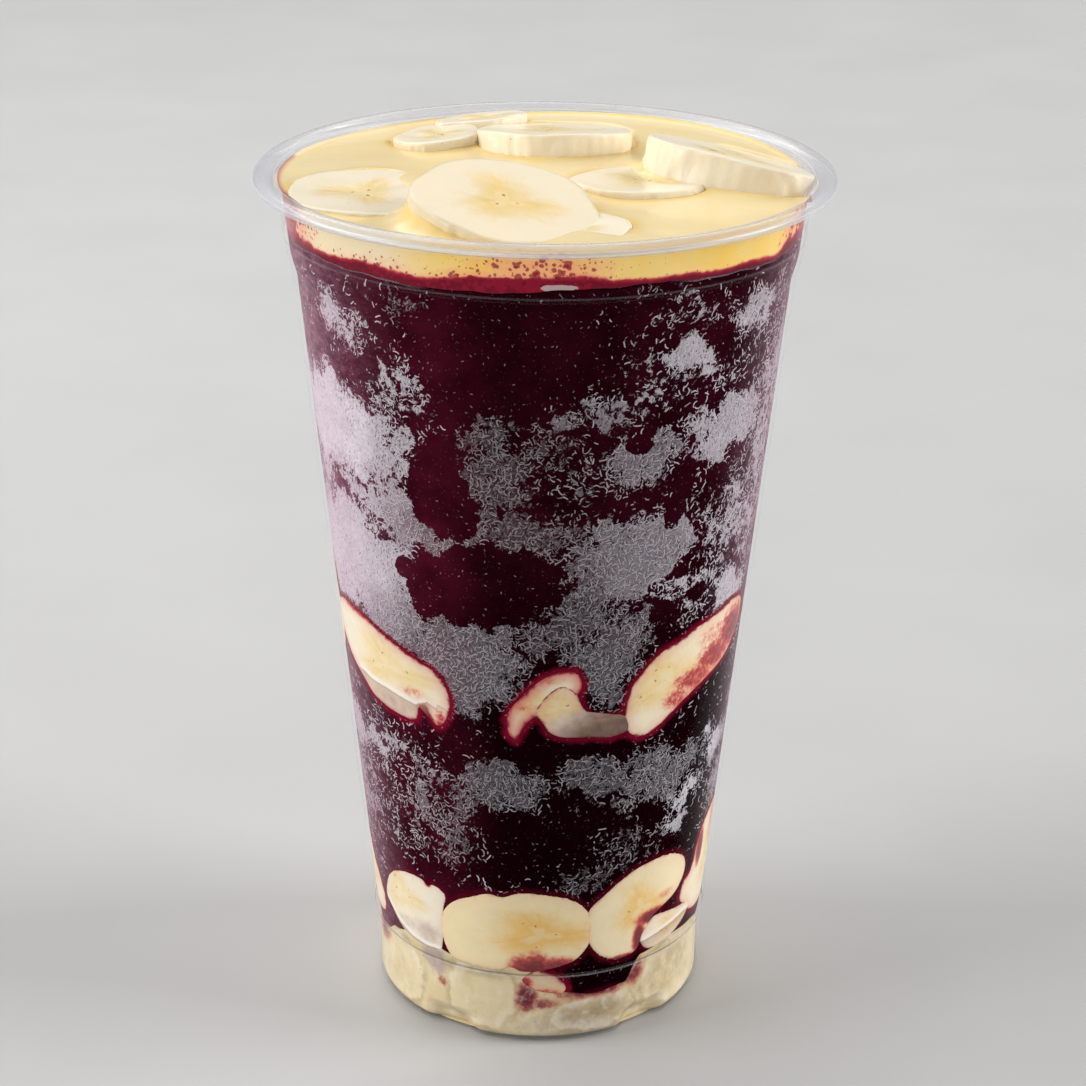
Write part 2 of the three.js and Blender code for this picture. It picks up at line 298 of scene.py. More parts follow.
def deselect():
    """Leaves nothing selected."""
    bpy.ops.object.select_all(action="DESELECT")


def corners_of(piece):
    """The piece's corners, one row each."""
    flat = np.empty(len(piece.data.vertices) * 3)
    piece.data.vertices.foreach_get("co", flat)
    return flat.reshape(-1, 3)


def move_corners(piece, points):
    """Writes corners given in millimetres."""
    piece.data.vertices.foreach_set("co", (points * MM).astype(np.float32).ravel())
    piece.data.update()


def store(piece, name, values):
    """Keeps one number or one vector for each corner, for the materials."""
    vector = values.ndim == 2
    attribute = piece.data.attributes.new(name, "FLOAT_VECTOR" if vector else "FLOAT", "POINT")
    attribute.data.foreach_set("vector" if vector else "value", values.astype(np.float32).ravel())


def skin(name, columns, rows, shape):
    """A closed piece. From shares round (u) and from end to end (v), shape gives places and named marks."""
    deselect()
    bpy.ops.mesh.primitive_grid_add(x_subdivisions=columns, y_subdivisions=rows, size=2)
    piece = bpy.context.object
    piece.name = piece.data.name = name
    x, y, _ = corners_of(piece).T
    u = np.round((x + 1) / 2 * columns) / columns % 1
    v = np.round((1 - y) / 2 * rows) / rows
    points, marks = shape(u, v)
    move_corners(piece, points)
    for mark, values in marks.items():
        store(piece, mark, values)
    weld = piece.modifiers.new("close the seam", "WELD")
    weld.merge_threshold = SEAM_WIDTH
    bpy.ops.object.modifier_apply(modifier=weld.name)
    bpy.ops.object.shade_smooth_by_angle(angle=math.radians(SHARP_EDGE))
    return piece


def dress(piece, material, slot, *nodes):
    """Gives a piece its material, hides the solids that it stands for and puts it under the body."""
    piece.data.materials.clear()
    piece.data.materials.append(material)
    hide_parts(*nodes)
    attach(piece, BODY)


# ---------------------------------------------------------------- shader maths


class Value:
    """A shader socket that can be used in sums."""

    def __init__(self, paint, socket):
        self.paint = paint
        self.socket = socket

    def __add__(self, other):
        return self.paint.maths("ADD", self, other)

    __radd__ = __add__

    def __sub__(self, other):
        return self.paint.maths("SUBTRACT", self, other)

    def __rsub__(self, other):
        return self.paint.maths("SUBTRACT", other, self)

    def __mul__(self, other):
        return self.paint.maths("MULTIPLY", self, other)

    __rmul__ = __mul__

    def __truediv__(self, other):
        return self.paint.maths("DIVIDE", self, other)

    def __pow__(self, other):
        return self.paint.maths("POWER", self, other)

    def __abs__(self):
        return self.paint.maths("ABSOLUTE", self)


class Paint:
    """One material and the nodes in it."""

    def __init__(self, name):
        self.material = bpy.data.materials.new(name)
        self.material.use_nodes = True
        self.tree = self.material.node_tree
        self.tree.nodes.clear()

    def node(self, kind, settings=(), inputs=()):
        """Adds a node: its settings come first, then the values or links of its sockets."""
        node = self.tree.nodes.new("ShaderNode" + kind)
        for key, value in dict(settings).items():
            if key == "stops":
                self.set_stops(node.color_ramp, value)
            else:
                setattr(node, key, value)
        for key, value in dict(inputs).items():
            self.feed(node.inputs[key], value)
        return node

    def set_stops(self, ramp, stops):
        """Sets a ramp's stops from (position, colour) pairs."""
        while len(ramp.elements) < len(stops):
            ramp.elements.new(1)
        for element, (position, shade) in zip(ramp.elements, stops):
            element.position = position
            element.color = (*shade, 1)

    def feed(self, socket, value):
        """Links a value to a socket, or sets the socket to it."""
        if isinstance(value, Value):
            self.tree.links.new(value.socket, socket)
        elif socket.type == "RGBA" and len(value) == 3:
            socket.default_value = (*value, 1)
        else:
            socket.default_value = value

    def maths(self, operation, *values):
        """A number worked out by a Math node."""
        return Value(self, self.node("Math", {"operation": operation}, enumerate(values)).outputs[0])

    def vectors(self, operation, *values):
        """A vector worked out by a Vector Math node."""
        return Value(self, self.node("VectorMath", {"operation": operation}, enumerate(values)).outputs[0])

    def ramp(self, value, low, high):
        """0 below low, 1 above high and an even ramp between. low may be above high."""
        inputs = {"Value": value, "From Min": low, "From Max": high}
        return Value(self, self.node("MapRange", {"interpolation_type": "SMOOTHSTEP"}, inputs).outputs[0])

    def position(self, stretch=(1, 1, 1)):
        """Object coordinates in millimetres, stretched."""
        source = Value(self, self.node("TexCoord").outputs["Object"])
        return self.vectors("MULTIPLY", source, tuple(s / MM for s in stretch))

    def height(self):
        """Height above the table, in millimetres."""
        return Value(self, self.node("SeparateXYZ", (), {0: self.position()}).outputs["Z"])

    def number(self, name):
        """A number kept on the mesh."""
        return Value(self, self.node("Attribute", {"attribute_name": name}).outputs["Fac"])

    def vector(self, name):
        """A vector kept on the mesh."""
        return Value(self, self.node("Attribute", {"attribute_name": name}).outputs["Vector"])

    def noise(self, where, size, detail=2.0, roughness=0.5, distortion=0.0):
        """Cloudy noise around 0.5 whose features are about size across."""
        inputs = {"Vector": where, "Scale": 1 / size, "Detail": detail, "Roughness": roughness,
                  "Distortion": distortion}
        return Value(self, self.node("TexNoise", (), inputs).outputs["Fac"])

    def swirl(self, where, size, amount):
        """Moves coordinates about by up to half of amount, over features of about size."""
        inputs = {"Vector": where, "Scale": 1 / size, "Detail": 1.0}
        source = Value(self, self.node("TexNoise", (), inputs).outputs["Color"])
        centred = self.vectors("SUBTRACT", source, (0.5, 0.5, 0.5))
        return self.vectors("ADD", where, self.vectors("MULTIPLY", centred, (amount, amount, amount)))

    def split(self, vector):
        """The three parts of a vector."""
        node = self.node("SeparateXYZ", (), {0: vector})
        return [Value(self, socket) for socket in node.outputs]

    def dashes(self, size, length, width, lean=0.0, spread=math.tau, curl=1.4, shift=0.0):
        """Scattered curled dashes on an upright round wall.

        Gives how much shows of each dash and of the thin painted shade beside it, the dash's place, and a
        chance.
        """
        where = self.vectors("ADD", self.position(), (shift, shift, shift))
        cell = self.node("TexVoronoi", (), {"Vector": where, "Scale": 1 / size})
        place = Value(self, cell.outputs["Position"])
        turn, bend, chance = self.split(Value(self, cell.outputs["Color"]))
        x, y, _ = self.split(self.position())
        away = (x * x + y * y) ** 0.5
        offset_x, offset_y, up = self.split(self.vectors("SUBTRACT", where, place))
        side = (x * offset_y - y * offset_x) / away
        angle = (turn - 0.5) * spread + lean
        cosine, sine = self.maths("COSINE", angle), self.maths("SINE", angle)
        along = side * cosine + up * sine
        across = up * cosine - side * sine + (bend - 0.5) * along * along * curl
        ends = self.ramp(abs(along) - (chance * 0.6 + 0.4) * (length / 2), 0.1, -0.1)
        near, far = width / 2 + 0.06, width / 2 - 0.06
        dash = ends * self.ramp(abs(across), near, far)
        # Painted shade: a thin line beside each dash, as if the dash stood in relief.
        painted_shade = ends * self.ramp(abs(across + width), near, far)
        return dash, painted_shade, place, chance

    def blend(self, share, first, second):
        """A shader between two."""
        return Value(self, self.node("MixShader", (), {0: share, 1: first, 2: second}).outputs[0])

    def shader(self, kind, **inputs):
        """A shader. Underscores in the names of its sockets stand for spaces."""
        named = {key.replace("_", " "): value for key, value in inputs.items()}
        return Value(self, self.node(kind, (), named).outputs[0])

    def cells(self, where, size):
        """Distance to the nearest of scattered points about size apart, in the units of where."""
        inputs = {"Vector": where, "Scale": 1 / size}
        return Value(self, self.node("TexVoronoi", (), inputs).outputs["Distance"]) * size

    def mix(self, share, first, second):
        """A colour between two."""
        node = self.node("Mix", {"data_type": "RGBA"})
        for index, value in ((0, share), (6, first), (7, second)):
            self.feed(node.inputs[index], value)
        return Value(self, node.outputs[2])

    def colours(self, value, *stops):
        """A colour read from a ramp with (position, colour) stops."""
        return Value(self, self.node("ValToRGB", {"stops": stops}, {"Fac": value}).outputs["Color"])

    def bump(self, height, depth, strength=1.0):
        """A normal from a height between 0 and 1 that stands for depth millimetres."""
        inputs = {"Height": height, "Distance": depth * MM, "Strength": strength}
        return Value(self, self.node("Bump", (), inputs).outputs["Normal"])

    def principled(self, **inputs):
        """A Principled shader."""
        return self.shader("BsdfPrincipled", **inputs)

    def finish(self, shader):
        """Sends a shader to the output and returns the material."""
        self.tree.links.new(shader.socket, self.node("OutputMaterial").inputs["Surface"])
        return self.material


# ---------------------------------------------------------------- materials


def plastic_material():
    """Clear thin plastic that turns milky in the rolled rim."""
    colours = bpy.context.scene.acai_colours
    paint = Paint("clear plastic")
    height = paint.height()
    rim = paint.ramp(height, RIM_UNDERSIDE - 0.5, RIM_UNDERSIDE + 0.3)
    fresnel = Value(paint, paint.node("Fresnel", (), {"IOR": 1.45}).outputs[0])
    facing = Value(paint, paint.node("LayerWeight", (), {"Blend": 0.5}).outputs["Facing"])
    gloss = paint.principled(Base_Color=(1, 1, 1), Metallic=1.0, Roughness=0.07)
    clear = paint.shader("BsdfTransparent")
    mirror = paint.maths("MAXIMUM", fresnel - 0.07, 0.0) * 0.9
    thin = paint.blend(paint.maths("MINIMUM", mirror, 0.2), clear, gloss)
    haze = paint.principled(Base_Color=tuple(colours.plastic), Roughness=0.2)
    seams = paint.ramp(abs(height - RIM_UNDERSIDE - 0.45), 0.16, 0.06)
    seams = seams + paint.ramp(abs(height - LIP_HEIGHT), 0.14, 0.04)
    cloudy = rim * 0.34 + seams * 0.3 + paint.ramp(facing, 0.8, 1.0) * 0.18
    milky = paint.blend(cloudy, thin, haze)

    # The ledge over the foot and the stacking ring bend the light into a dark line over a bright one. Both
    # are painted: a band of painted shade over a band of painted highlight.
    uneven = 0.5 + paint.noise(paint.position(), 6.0, 2.0)
    painted_shade = paint.ramp(abs(height - LEDGE_HEIGHT), 0.28, 0.1) * 0.42
    painted_shade = painted_shade + paint.ramp(abs(height - RING_HEIGHT + 0.7), 0.3, 0.1) * 0.14
    painted_highlight = paint.ramp(abs(height - LEDGE_HEIGHT + 0.5), 0.3, 0.1) * 0.2
    painted_highlight = painted_highlight + paint.ramp(abs(height - RING_HEIGHT + 0.1), 0.3, 0.1) * 0.06
    shadow = paint.principled(Base_Color=tint(74, 48, 40), Roughness=0.3)
    lined = paint.blend(painted_shade * uneven, milky, shadow)
    return paint.finish(paint.blend(painted_highlight * uneven, lined, haze))


def pulp_material():
    """Dark frozen pulp, wet where it touches the wall, under a broken film of frost."""
    colours = bpy.context.scene.acai_colours
    paint = Paint("frozen acai pulp")
    where = paint.position()
    gap = paint.number("gap")
    frost = paint.number("frost")
    # Solidity also paints the light: the frost is painted brighter at the flanks, where the light falls, and
    # greyer in the shaded middle.
    solid = paint.number("solid")

    # Patches with ragged edges: a listed density broken up by noise.
    clear = paint.ramp(paint.number("clear") + (paint.noise(where, 2.2, 4.0, 0.6) - 0.5) * 1.1, 0.44, 0.54)
    lichen = (paint.noise(where, 6.0, 5.0, 0.6, 0.4) - 0.5) * 1.7 + (paint.noise(where, 1.2, 1.0) - 0.5) * 1.2
    density = (frost + lichen) * paint.ramp(gap, 0.2, 1.5) - clear * 1.4
    cover = paint.ramp(density, 0.48, 0.56)

    # Curled strokes and worm-like lines, about a millimetre long, that thin out round the patches.
    fine, fine_painted_shade, cell, chance = paint.dashes(0.78, 1.35, 0.16, curl=2.6)
    thin = frost + (paint.noise(cell, 5.0, 4.0, 0.6) - 0.5) * 2.1 + (chance - 0.5) * 0.5 - clear
    shown = paint.ramp(thin, 0.36, 0.42)
    fine, fine_painted_shade = fine * shown * (0.3 + chance * 0.7), fine_painted_shade * shown
    bold, bold_painted_shade, cell, chance = paint.dashes(1.1, 1.5, 0.2, lean=0.9, spread=2.8, curl=2.0, shift=40.0)
    thick = frost + (paint.noise(cell, 4.0, 4.0, 0.6) - 0.5) * 2.1 + (chance - 0.5) * 0.7 - clear
    shown = paint.ramp(thick + solid * 0.3, 0.6, 0.66)
    bold, bold_painted_shade = bold * shown, bold_painted_shade * shown
    curled = paint.swirl(where, 0.9, 1.1)
    worm = paint.ramp(abs(paint.noise(curled, 0.7, 0.0) - 0.5), 0.08, 0.03)
    worm = worm * paint.ramp(paint.noise(where, 0.9, 1.0), 0.36, 0.5) * paint.ramp(density, 0.3, 0.5)
    worm = worm * paint.noise(where, 1.4, 1.0) * (0.6 + solid)
    strokes = paint.maths("MAXIMUM", paint.maths("MAXIMUM", fine, bold), worm)
    strokes = strokes * paint.ramp(gap, 0.3, 1.2)
    notch, _, _, chance = paint.dashes(1.0, 1.1, 0.2, lean=1.35, spread=1.3, curl=0.5, shift=90.0)
    notch = notch * paint.ramp(density + chance * 0.55, 1.5, 1.15)

    worn = 1.0 + (paint.noise(where, 0.5, 1.0) - 0.5) * 0.7 + (paint.noise(where, 4.0, 2.0) - 0.5) * 0.5
    film = cover * worn * (solid ** 2 * 0.5 + solid ** 4 * 0.3) * (1 - notch * 0.8)
    # Painted shade beside the strokes makes the frost film look engraved.
    film = film * (1 - paint.maths("MAXIMUM", fine_painted_shade, bold_painted_shade) * (1.05 - solid) * 0.9)
    white = paint.maths("MAXIMUM", film, strokes * (0.2 + solid * 0.62))
    spark, _, _, chance = paint.dashes(1.1, 0.4, 0.16, shift=140.0)
    dust = paint.ramp(paint.noise(where, 0.28, 0.0), 0.76, 0.86)
    white = paint.maths("MAXIMUM", white, spark * paint.ramp(chance, 0.78, 1.0) * 0.26 + dust * 0.1)

    # Juice glows red where the pulp thins out over a slice, and a thin mist lies on it at the sides. The mist
    # is partly painted light, which lightens the pulp and the frost at the flanks, where the side lights
    # fall.
    # Painted light: the pulp is painted lighter higher up and towards the left, where the light falls.
    lit = paint.number("lit") * (0.55 + paint.ramp(paint.noise(where, 9, 4.0, 0.6), 0.3, 0.7) * 0.9)
    body = paint.mix(lit, tuple(colours.pulp), tuple(colours.painted_lit_pulp))
    mist = paint.number("mist")
    streaky = paint.noise(paint.position((1, 1, 2.2)), 2.6, 4.0, 0.7)
    body = paint.mix(mist * (0.35 + paint.ramp(streaky, 0.35, 0.65) * 0.65), body, tint(158, 104, 126))
    glow = 1 - paint.ramp(gap + (paint.noise(where, 1.6, 2.0) - 0.5) * 1.2, 0.15, 1.5)
    body = paint.mix(glow * paint.number("tinge"), body, tuple(colours.juice))
    ice = paint.mix(mist * 0.45, tuple(colours.frost), tint(224, 196, 212))
    surface = paint.mix(white, body, ice)
    normal = paint.bump(paint.noise(where, 1.1, 2.0) * 0.4, 0.1)
    return paint.finish(paint.principled(Base_Color=surface, Roughness=0.42 + white * 0.3, Normal=normal,
                                         Specular_IOR_Level=0.0))


def cream_material():
    """Condensed milk, stained red along its foot at the wall."""
    colours = bpy.context.scene.acai_colours
    paint = Paint("condensed milk")
    where = paint.position()
    clouds = paint.ramp(paint.noise(where, 16, 3.0, 0.6), 0.35, 0.7)
    # Beside the slices the milk turns deep yellow: partly deeper milk, partly painted shade that the slices
    # cast.
    pool_and_painted_shade = 1 - paint.ramp(paint.number("near") + (paint.noise(where, 4, 2.0) - 0.5), 0.2, 3.0)
    top = paint.mix(clouds * 0.4, tuple(colours.cream), tint(238, 222, 182))
    top = paint.mix(pool_and_painted_shade * 0.6, top, tuple(colours.cream_deep))

    # At the wall: a crisp crimson foot, pink clouds and dark round specks.
    stain = paint.number("stain")
    ragged = paint.number("depth") + (paint.noise(where, 1.0, 3.0, 0.65) - 0.5) * 0.7
    ragged = ragged + (paint.noise(where, 5.0, 2.0) - 0.5) * 1.6 - stain * 2.0 + 0.25
    yellow = paint.mix(clouds, tint(252, 208, 100), tint(248, 218, 138))
    yellow = paint.mix(paint.number("pale"), yellow, tint(246, 228, 190))
    cloud = stain + (paint.noise(where, 2.2, 4.0, 0.6) - 0.5) * 1.1
    side = paint.mix(paint.ramp(cloud, 0.1, 1.1) * 0.8, yellow, tint(250, 160, 134))
    edge = paint.colours(ragged / 3, (0.0, tint(112, 12, 38)), (0.12, tint(142, 20, 48)),
                         (0.24, tint(184, 52, 70)), (0.36, tint(228, 140, 112)))
    side = paint.mix(paint.ramp(ragged, 1.4, 0.7), side, edge)
    for size, growth in ((0.9, 0.36), (1.7, 0.66)):
        dots = paint.cells(paint.swirl(where, 1.2, 0.7), size)
        side = paint.mix(paint.ramp(dots - cloud * growth, 0.12, -0.04) * 0.8, side, tint(142, 18, 44))
    streak = paint.ramp(paint.number("streak") + (paint.noise(where, 2.0, 4.0, 0.6) - 0.5) * 0.9, 0.3, 0.8)
    side = paint.mix(streak * 0.8, side, tint(170, 60, 84))
    chip = paint.ramp(paint.number("chip") + (paint.noise(where, 1.2, 2.0) - 0.5) * 0.6, 0.5, 0.6)
    side = paint.mix(chip * 0.8, side, tint(196, 176, 176))
    wall = paint.number("wall")
    surface = paint.mix(wall, top, side)
    # Painted light: the milk at the wall glows a little towards the front, in place of light that comes
    # through it.
    glow = paint.mix(paint.number("glow") * wall * 0.2, (0, 0, 0), side)
    normal = paint.bump(paint.noise(where, 6, 2.0), 0.12, 0.6)
    shader = paint.principled(Base_Color=surface, Roughness=0.2 + wall * 0.35, Normal=normal,
                              Emission_Color=glow, Emission_Strength=1.0,
                              Specular_IOR_Level=0.15,
                              Coat_Weight=0.12 - wall * 0.12, Coat_Roughness=0.08)
    return paint.finish(shader)


def milk_material():
    """Condensed milk that has run down between the slices in the foot."""
    colours = bpy.context.scene.acai_colours
    paint = Paint("milk in the foot")
    where = paint.position()
    clouds = paint.ramp(paint.noise(where, 5, 3.0, 0.6), 0.4, 0.66)
    body = paint.mix(clouds * 0.4, tuple(colours.milk), tint(216, 188, 136))
    shade = paint.ramp(paint.number("shade") + (paint.noise(where, 3.5, 3.0, 0.6) - 0.5) * 0.9, 0.1, 0.9)
    body = paint.mix(shade * 0.75, body, tint(156, 130, 96))
    # Grey veils: partly grey-lilac patches in the milk, partly painted shade, darker low in the middle.
    grey = paint.ramp(paint.number("veil") + (paint.noise(where, 2.5, 3.0, 0.6) - 0.5) * 0.8, 0.2, 0.8)
    body = paint.mix(grey * 0.7, body, tint(176, 156, 160))
    # Round each slice hidden under the milk: a painted highlight just inside its outline and painted shade in
    # the crease along it.
    edge = paint.number("lump") + (paint.noise(where, 3.4, 4.0, 0.65) - 0.5) * 3.6
    broken = paint.ramp(paint.noise(where, 5.0, 2.0), 0.4, 0.6)
    body = paint.mix(paint.ramp(edge, -3.0, -0.6) * paint.ramp(edge, 0.2, -0.6) * broken * 0.5, body,
                     tint(252, 244, 224))
    body = paint.mix(paint.ramp(edge, -0.4, 0.2) * paint.ramp(edge, 1.8, 0.2) * (1.1 - broken) * 0.4, body,
                     tint(164, 132, 92))
    stain = paint.number("stain") + (paint.noise(where, 1.6, 4.0, 0.65) - 0.5) * 1.0
    body = paint.mix(paint.ramp(stain, 0.1, 0.7), body, tint(212, 146, 116))
    body = paint.mix(paint.ramp(stain, 0.35, 0.95), body, tint(122, 18, 44))
    lumps = paint.ramp(paint.noise(paint.swirl(where, 3.0, 2.0), 2.2, 3.0, 0.6), 0.5, 0.75)
    body = paint.mix(lumps * 0.45, body, tint(246, 240, 222))
    specks = paint.ramp(paint.cells(where, 2.4), 0.22, 0.1)
    specks = specks * paint.ramp(paint.noise(where, 6, 1.0), 0.45, 0.6)
    body = paint.mix(specks * 0.6, body, tint(120, 84, 60))
    normal = paint.bump(paint.noise(where, 2, 2.0), 0.15)
    return paint.finish(paint.principled(Base_Color=body, Roughness=0.3, Normal=normal))


def banana_material(name, wet):
    """Banana flesh: a pale ring round a yellow three-lobed core with seeds, stained by juice."""
    colours = bpy.context.scene.acai_colours
    paint = Paint(name)
    where = paint.position()
    # Across and up are 1 at the face's edge, and depth is in millimetres.
    across, up, depth = paint.split(paint.vector("flesh"))
    reach = (across * across + up * up) ** 0.5
    angle = paint.maths("ARCTAN2", up, across)
    lobes = paint.maths("COSINE", angle * 3 + 0.6)
    soak = paint.number("soak")
    face = (1 - paint.ramp(depth, 0.3, 1.0)) * (1 - soak * 0.85)
    ragged = reach + (paint.noise(where, 3.0, 4.0, 0.6) - 0.5) * 0.45 - lobes * 0.09
    core = 1 - paint.ramp(ragged, 0.16, 0.62)
    spokes = paint.node("CombineXYZ", (), {"X": angle * 4, "Y": reach * 2.4, "Z": lobes})
    fibres = paint.noise(Value(paint, spokes.outputs[0]), 1.0, 3.0, 0.6)
    tone = paint.ramp(paint.noise(where, 7.0, 3.0, 0.6), 0.4, 0.7)
    # ripe yellows the flesh and its core. On the slices on top it also darkens the flesh: painted shade on
    # the first slice, which catches the most light.
    ripe = paint.number("ripe")
    flesh = paint.mix(ripe, tuple(colours.flesh), tint(255, 236, 190))
    if wet:
        flesh = paint.mix(ripe, tint(248, 237, 212), tint(228, 213, 181))
    golden = tint(222, 188, 108) if wet else tint(250, 194, 84)
    body = paint.mix(tone * 0.3, flesh, tint(238, 218, 182))
    yellow = paint.mix(ripe, tuple(colours.core), golden)
    body = paint.mix(core * (0.55 + ripe * 0.35) * face, body, yellow)
    arms = paint.ramp(fibres + lobes * 0.1, 0.5, 0.75)
    arms = arms * paint.ramp(reach, 0.1, 0.26) * paint.ramp(reach, 0.8, 0.4)
    body = paint.mix(arms * (0.75 if wet else 0.5) * face, body, tint(232, 194, 110))
    heart = paint.ramp(ragged, 0.2, 0.06)
    body = paint.mix(heart * (0.12 if wet else 0.4) * face, body, tint(252, 242, 214))
    seeds, _, _, chance = paint.dashes(2.3, 0.5, 0.26, curl=0.3)
    seeds = seeds * paint.ramp(chance, 0.5, 0.65) * paint.ramp(abs(ragged - 0.17), 0.17, 0.08) * face
    if wet:
        pips = paint.ramp(lobes, 0.86, 0.98) * paint.ramp(abs(reach - 0.13), 0.04, 0.015)
        seeds = paint.maths("MAXIMUM", seeds, pips * paint.ramp(paint.noise(where, 1.5, 0.0), 0.4, 0.55))
    body = paint.mix(seeds * 0.85, body, tuple(colours.seed))
    specks = paint.ramp(paint.cells(where, 2.8), 0.2, 0.08)
    specks = specks * paint.ramp(paint.noise(where, 5, 1.0), 0.5, 0.6)
    body = paint.mix(specks * 0.55, body, tint(150, 104, 66))
    body = paint.mix(soak * 0.9, body, tuple(colours.milk))
    lumps = paint.ramp(paint.noise(paint.swirl(where, 3.0, 2.0), 2.2, 3.0, 0.6), 0.5, 0.75)
    body = paint.mix(lumps * soak * 0.45, body, tint(248, 240, 218))

    # Juice creeps in from the outline.
    edge = paint.number("edge") + (paint.noise(where, 1.3, 3.0, 0.6) - 0.5) * 1.2
    juice = paint.number("juice")
    body = paint.mix(paint.ramp(edge, 2.8, 0.2) * juice, body, tint(228, 138, 122))
    body = paint.mix(paint.ramp(edge, 0.9, 0.1) * juice, body, tint(196, 74, 86))
    body = paint.mix(paint.ramp(edge, 0.45, 0.0) * paint.ramp(juice, 0.0, 0.3), body, tuple(colours.juice))
    # The veil greys the flesh: mostly painted shade where a slice lies turned from the light or curls under,
    # partly the grey of thin flesh.
    veil = paint.number("veil") + (paint.noise(where, 2.0, 4.0, 0.6) - 0.5) * 0.5
    grey = paint.colours(veil, (0.1, tint(212, 190, 184)), (0.45, tint(196, 172, 158)),
                         (0.85, tint(126, 96, 82)), (1.0, tint(92, 62, 58)))
    body = paint.mix(paint.ramp(veil, 0.1, 0.6) * 0.9, body, grey)

    # Where a slice is folded, the layer below is painted in shade, under a painted highlight along the lip
    # and a thin line of painted shade in the crease.
    fold = paint.number("fold") + (paint.noise(where, 1.5, 2.0) - 0.5) * 0.4
    below = paint.ramp(fold, -3.0, -0.2) * paint.ramp(fold, 0.1, -0.1)
    body = paint.mix(below * 0.5, body, tint(176, 140, 118))
    lip = paint.ramp(fold, 1.3, 0.7) * paint.ramp(fold, 0.1, 0.4)
    body = paint.mix(lip * 0.85, body, tint(252, 246, 240))
    body = paint.mix(paint.ramp(abs(fold), 0.26, 0.06) * 0.36, body, tint(124, 76, 66))

    # Smears of fine blotches.
    amount = paint.number("smear")
    streaks = paint.noise(paint.swirl(paint.position((1.0, 1.0, 1.5)), 3.0, 1.5), 1.5, 5.0, 0.7)
    blots = paint.noise(paint.swirl(where, 1.0, 0.6), 0.8, 2.0, 0.6)
    rough = (streaks - 0.5) * 0.9 + (blots - 0.5) * 0.8
    rough = rough * (0.6 + paint.ramp(paint.height(), 50, 60) * 0.4)
    smear = amount + rough * paint.ramp(amount, 0.0, 0.4)
    stain = paint.colours(smear, (0.05, tint(242, 200, 150)), (0.3, tint(230, 142, 112)),
                          (0.55, tint(198, 70, 76)), (0.85, tint(122, 16, 44)))
    body = paint.mix(paint.ramp(smear, 0.0, 0.55) * 0.95, body, stain)

    relief = paint.noise(where, 0.7, 2.0, 0.6) * 0.7
    shader = paint.principled(Base_Color=body, Roughness=0.28 if wet else 0.42,
                              Normal=paint.bump(relief, 0.09 if wet else 0.06),
                              Specular_IOR_Level=0.2, Coat_Weight=0.15 if wet else 0.0, Coat_Roughness=0.08)
    return paint.finish(shader)


def floor_material():
    """Pale plain floor, darker beyond the sides in painted shade, which offsets the light of the softboxes
    standing over it.
    """
    paint = Paint("pale floor")
    where = paint.position()
    speckle = paint.noise(where, 60, 3.0)
    shade = paint.mix(speckle, (0.5, 0.495, 0.49), (0.56, 0.555, 0.55))
    # Painted shade: the floor darkens sideways, under the softboxes, against their light.
    aside = abs(paint.split(where)[0])
    shade = paint.mix(paint.ramp(aside, 250, 1600), shade, (0.26, 0.257, 0.253))
    return paint.finish(paint.principled(Base_Color=shade, Roughness=0.8, Specular_IOR_Level=0.1))


# ---------------------------------------------------------------- the cup


def cup_profile():
    """Half of the cup's section, from under its base, round the rim and down to the middle of its floor."""
    sizes = millimetres(bpy.context.scene.acai_cup)
    corner_radius, corner_height = CORNER_CENTRE
    top = sizes.height

    def base(inwards):
        """The recess, the ring that it stands on and the bottom corner."""
        bend = np.radians(np.linspace(-90, 0, 7))
        size = corner_height - inwards
        slope = np.linspace(0, 1, 5)
        recess = BASE_RING_RADIUS + 0.4 * inwards - RECESS_SLOPE * (1 - slope)
        fall = (RECESS_TOP + inwards) + slope * (inwards - RECESS_TOP - inwards)
        flat = np.linspace(0, BASE_RING_RADIUS - RECESS_SLOPE - 1, 6)
        return np.vstack([
            np.column_stack([flat, 0 * flat + RECESS_TOP + inwards]),
            np.column_stack([recess, fall]),
            np.column_stack([corner_radius + size * np.cos(bend), corner_height + size * np.sin(bend)]),
        ])

    plain = np.arange(corner_height + 0.6, RIM_UNDERSIDE - 0.4, 1.3)
    bends = ((11.5, 16.5), (132.6, 139), (141, 144))
    close = [np.arange(low, high, 0.25) for low, high in bends]
    heights = np.unique(np.round(np.concatenate([plain, *close]), 2))
    ridge = sizes.ring_ridge * np.exp(-((heights - RING_HEIGHT) / 0.4) ** 2)
    ridge += sizes.shoulder_ridge * np.exp(-((heights - SHOULDER_HEIGHT) / 0.3) ** 2)
    outside = np.column_stack([outer_radius(heights) + ridge, heights])
    heights = np.append(heights, np.arange(RIM_UNDERSIDE - 0.2, WALL_BENDS[-1][1] - 0.3, 0.3))
    inside = np.column_stack([outer_radius(heights) - sizes.wall, heights])
    half = sizes.rim_height / 2
    wide = (sizes.rim_radius - WALL_BENDS[-1][0] + sizes.wall) / 2
    bead = np.radians(np.linspace(-135, 165, 27))
    rim = np.column_stack([sizes.rim_radius - wide + wide * np.cos(bead), top - half + half * np.sin(bead)])
    return np.vstack([base(0), outside, rim, inside[::-1], base(sizes.wall)[::-1]])


def make_cup():
    """The clear cup with its rolled rim, stacking ring and scalloped foot."""
    profile = cup_profile()[::-1]

    def shape(u, v):
        angle = u * 360 - 180
        radius, height = profile[np.round(v * (len(profile) - 1)).astype(int)].T
        pressed = smooth((radius - BASE_RING_RADIUS - RECESS_SLOPE) / RECESS_SLOPE)
        return place(angle, radius - pressed * scallop_depth(angle, height), height), {}

    piece = skin("cup_shell", 240, len(profile) - 1, shape)
    dress(piece, plastic_material(), "cup", "cup")


# ---------------------------------------------------------------- slices against the wall

SLICE_COLUMNS = 96
SLICE_ROWS = 34
TOUCHING = 1.2           # a solid slice's corners this near to the wall make its outline
ROOM_BEHIND = 0.3        # room left behind a slice
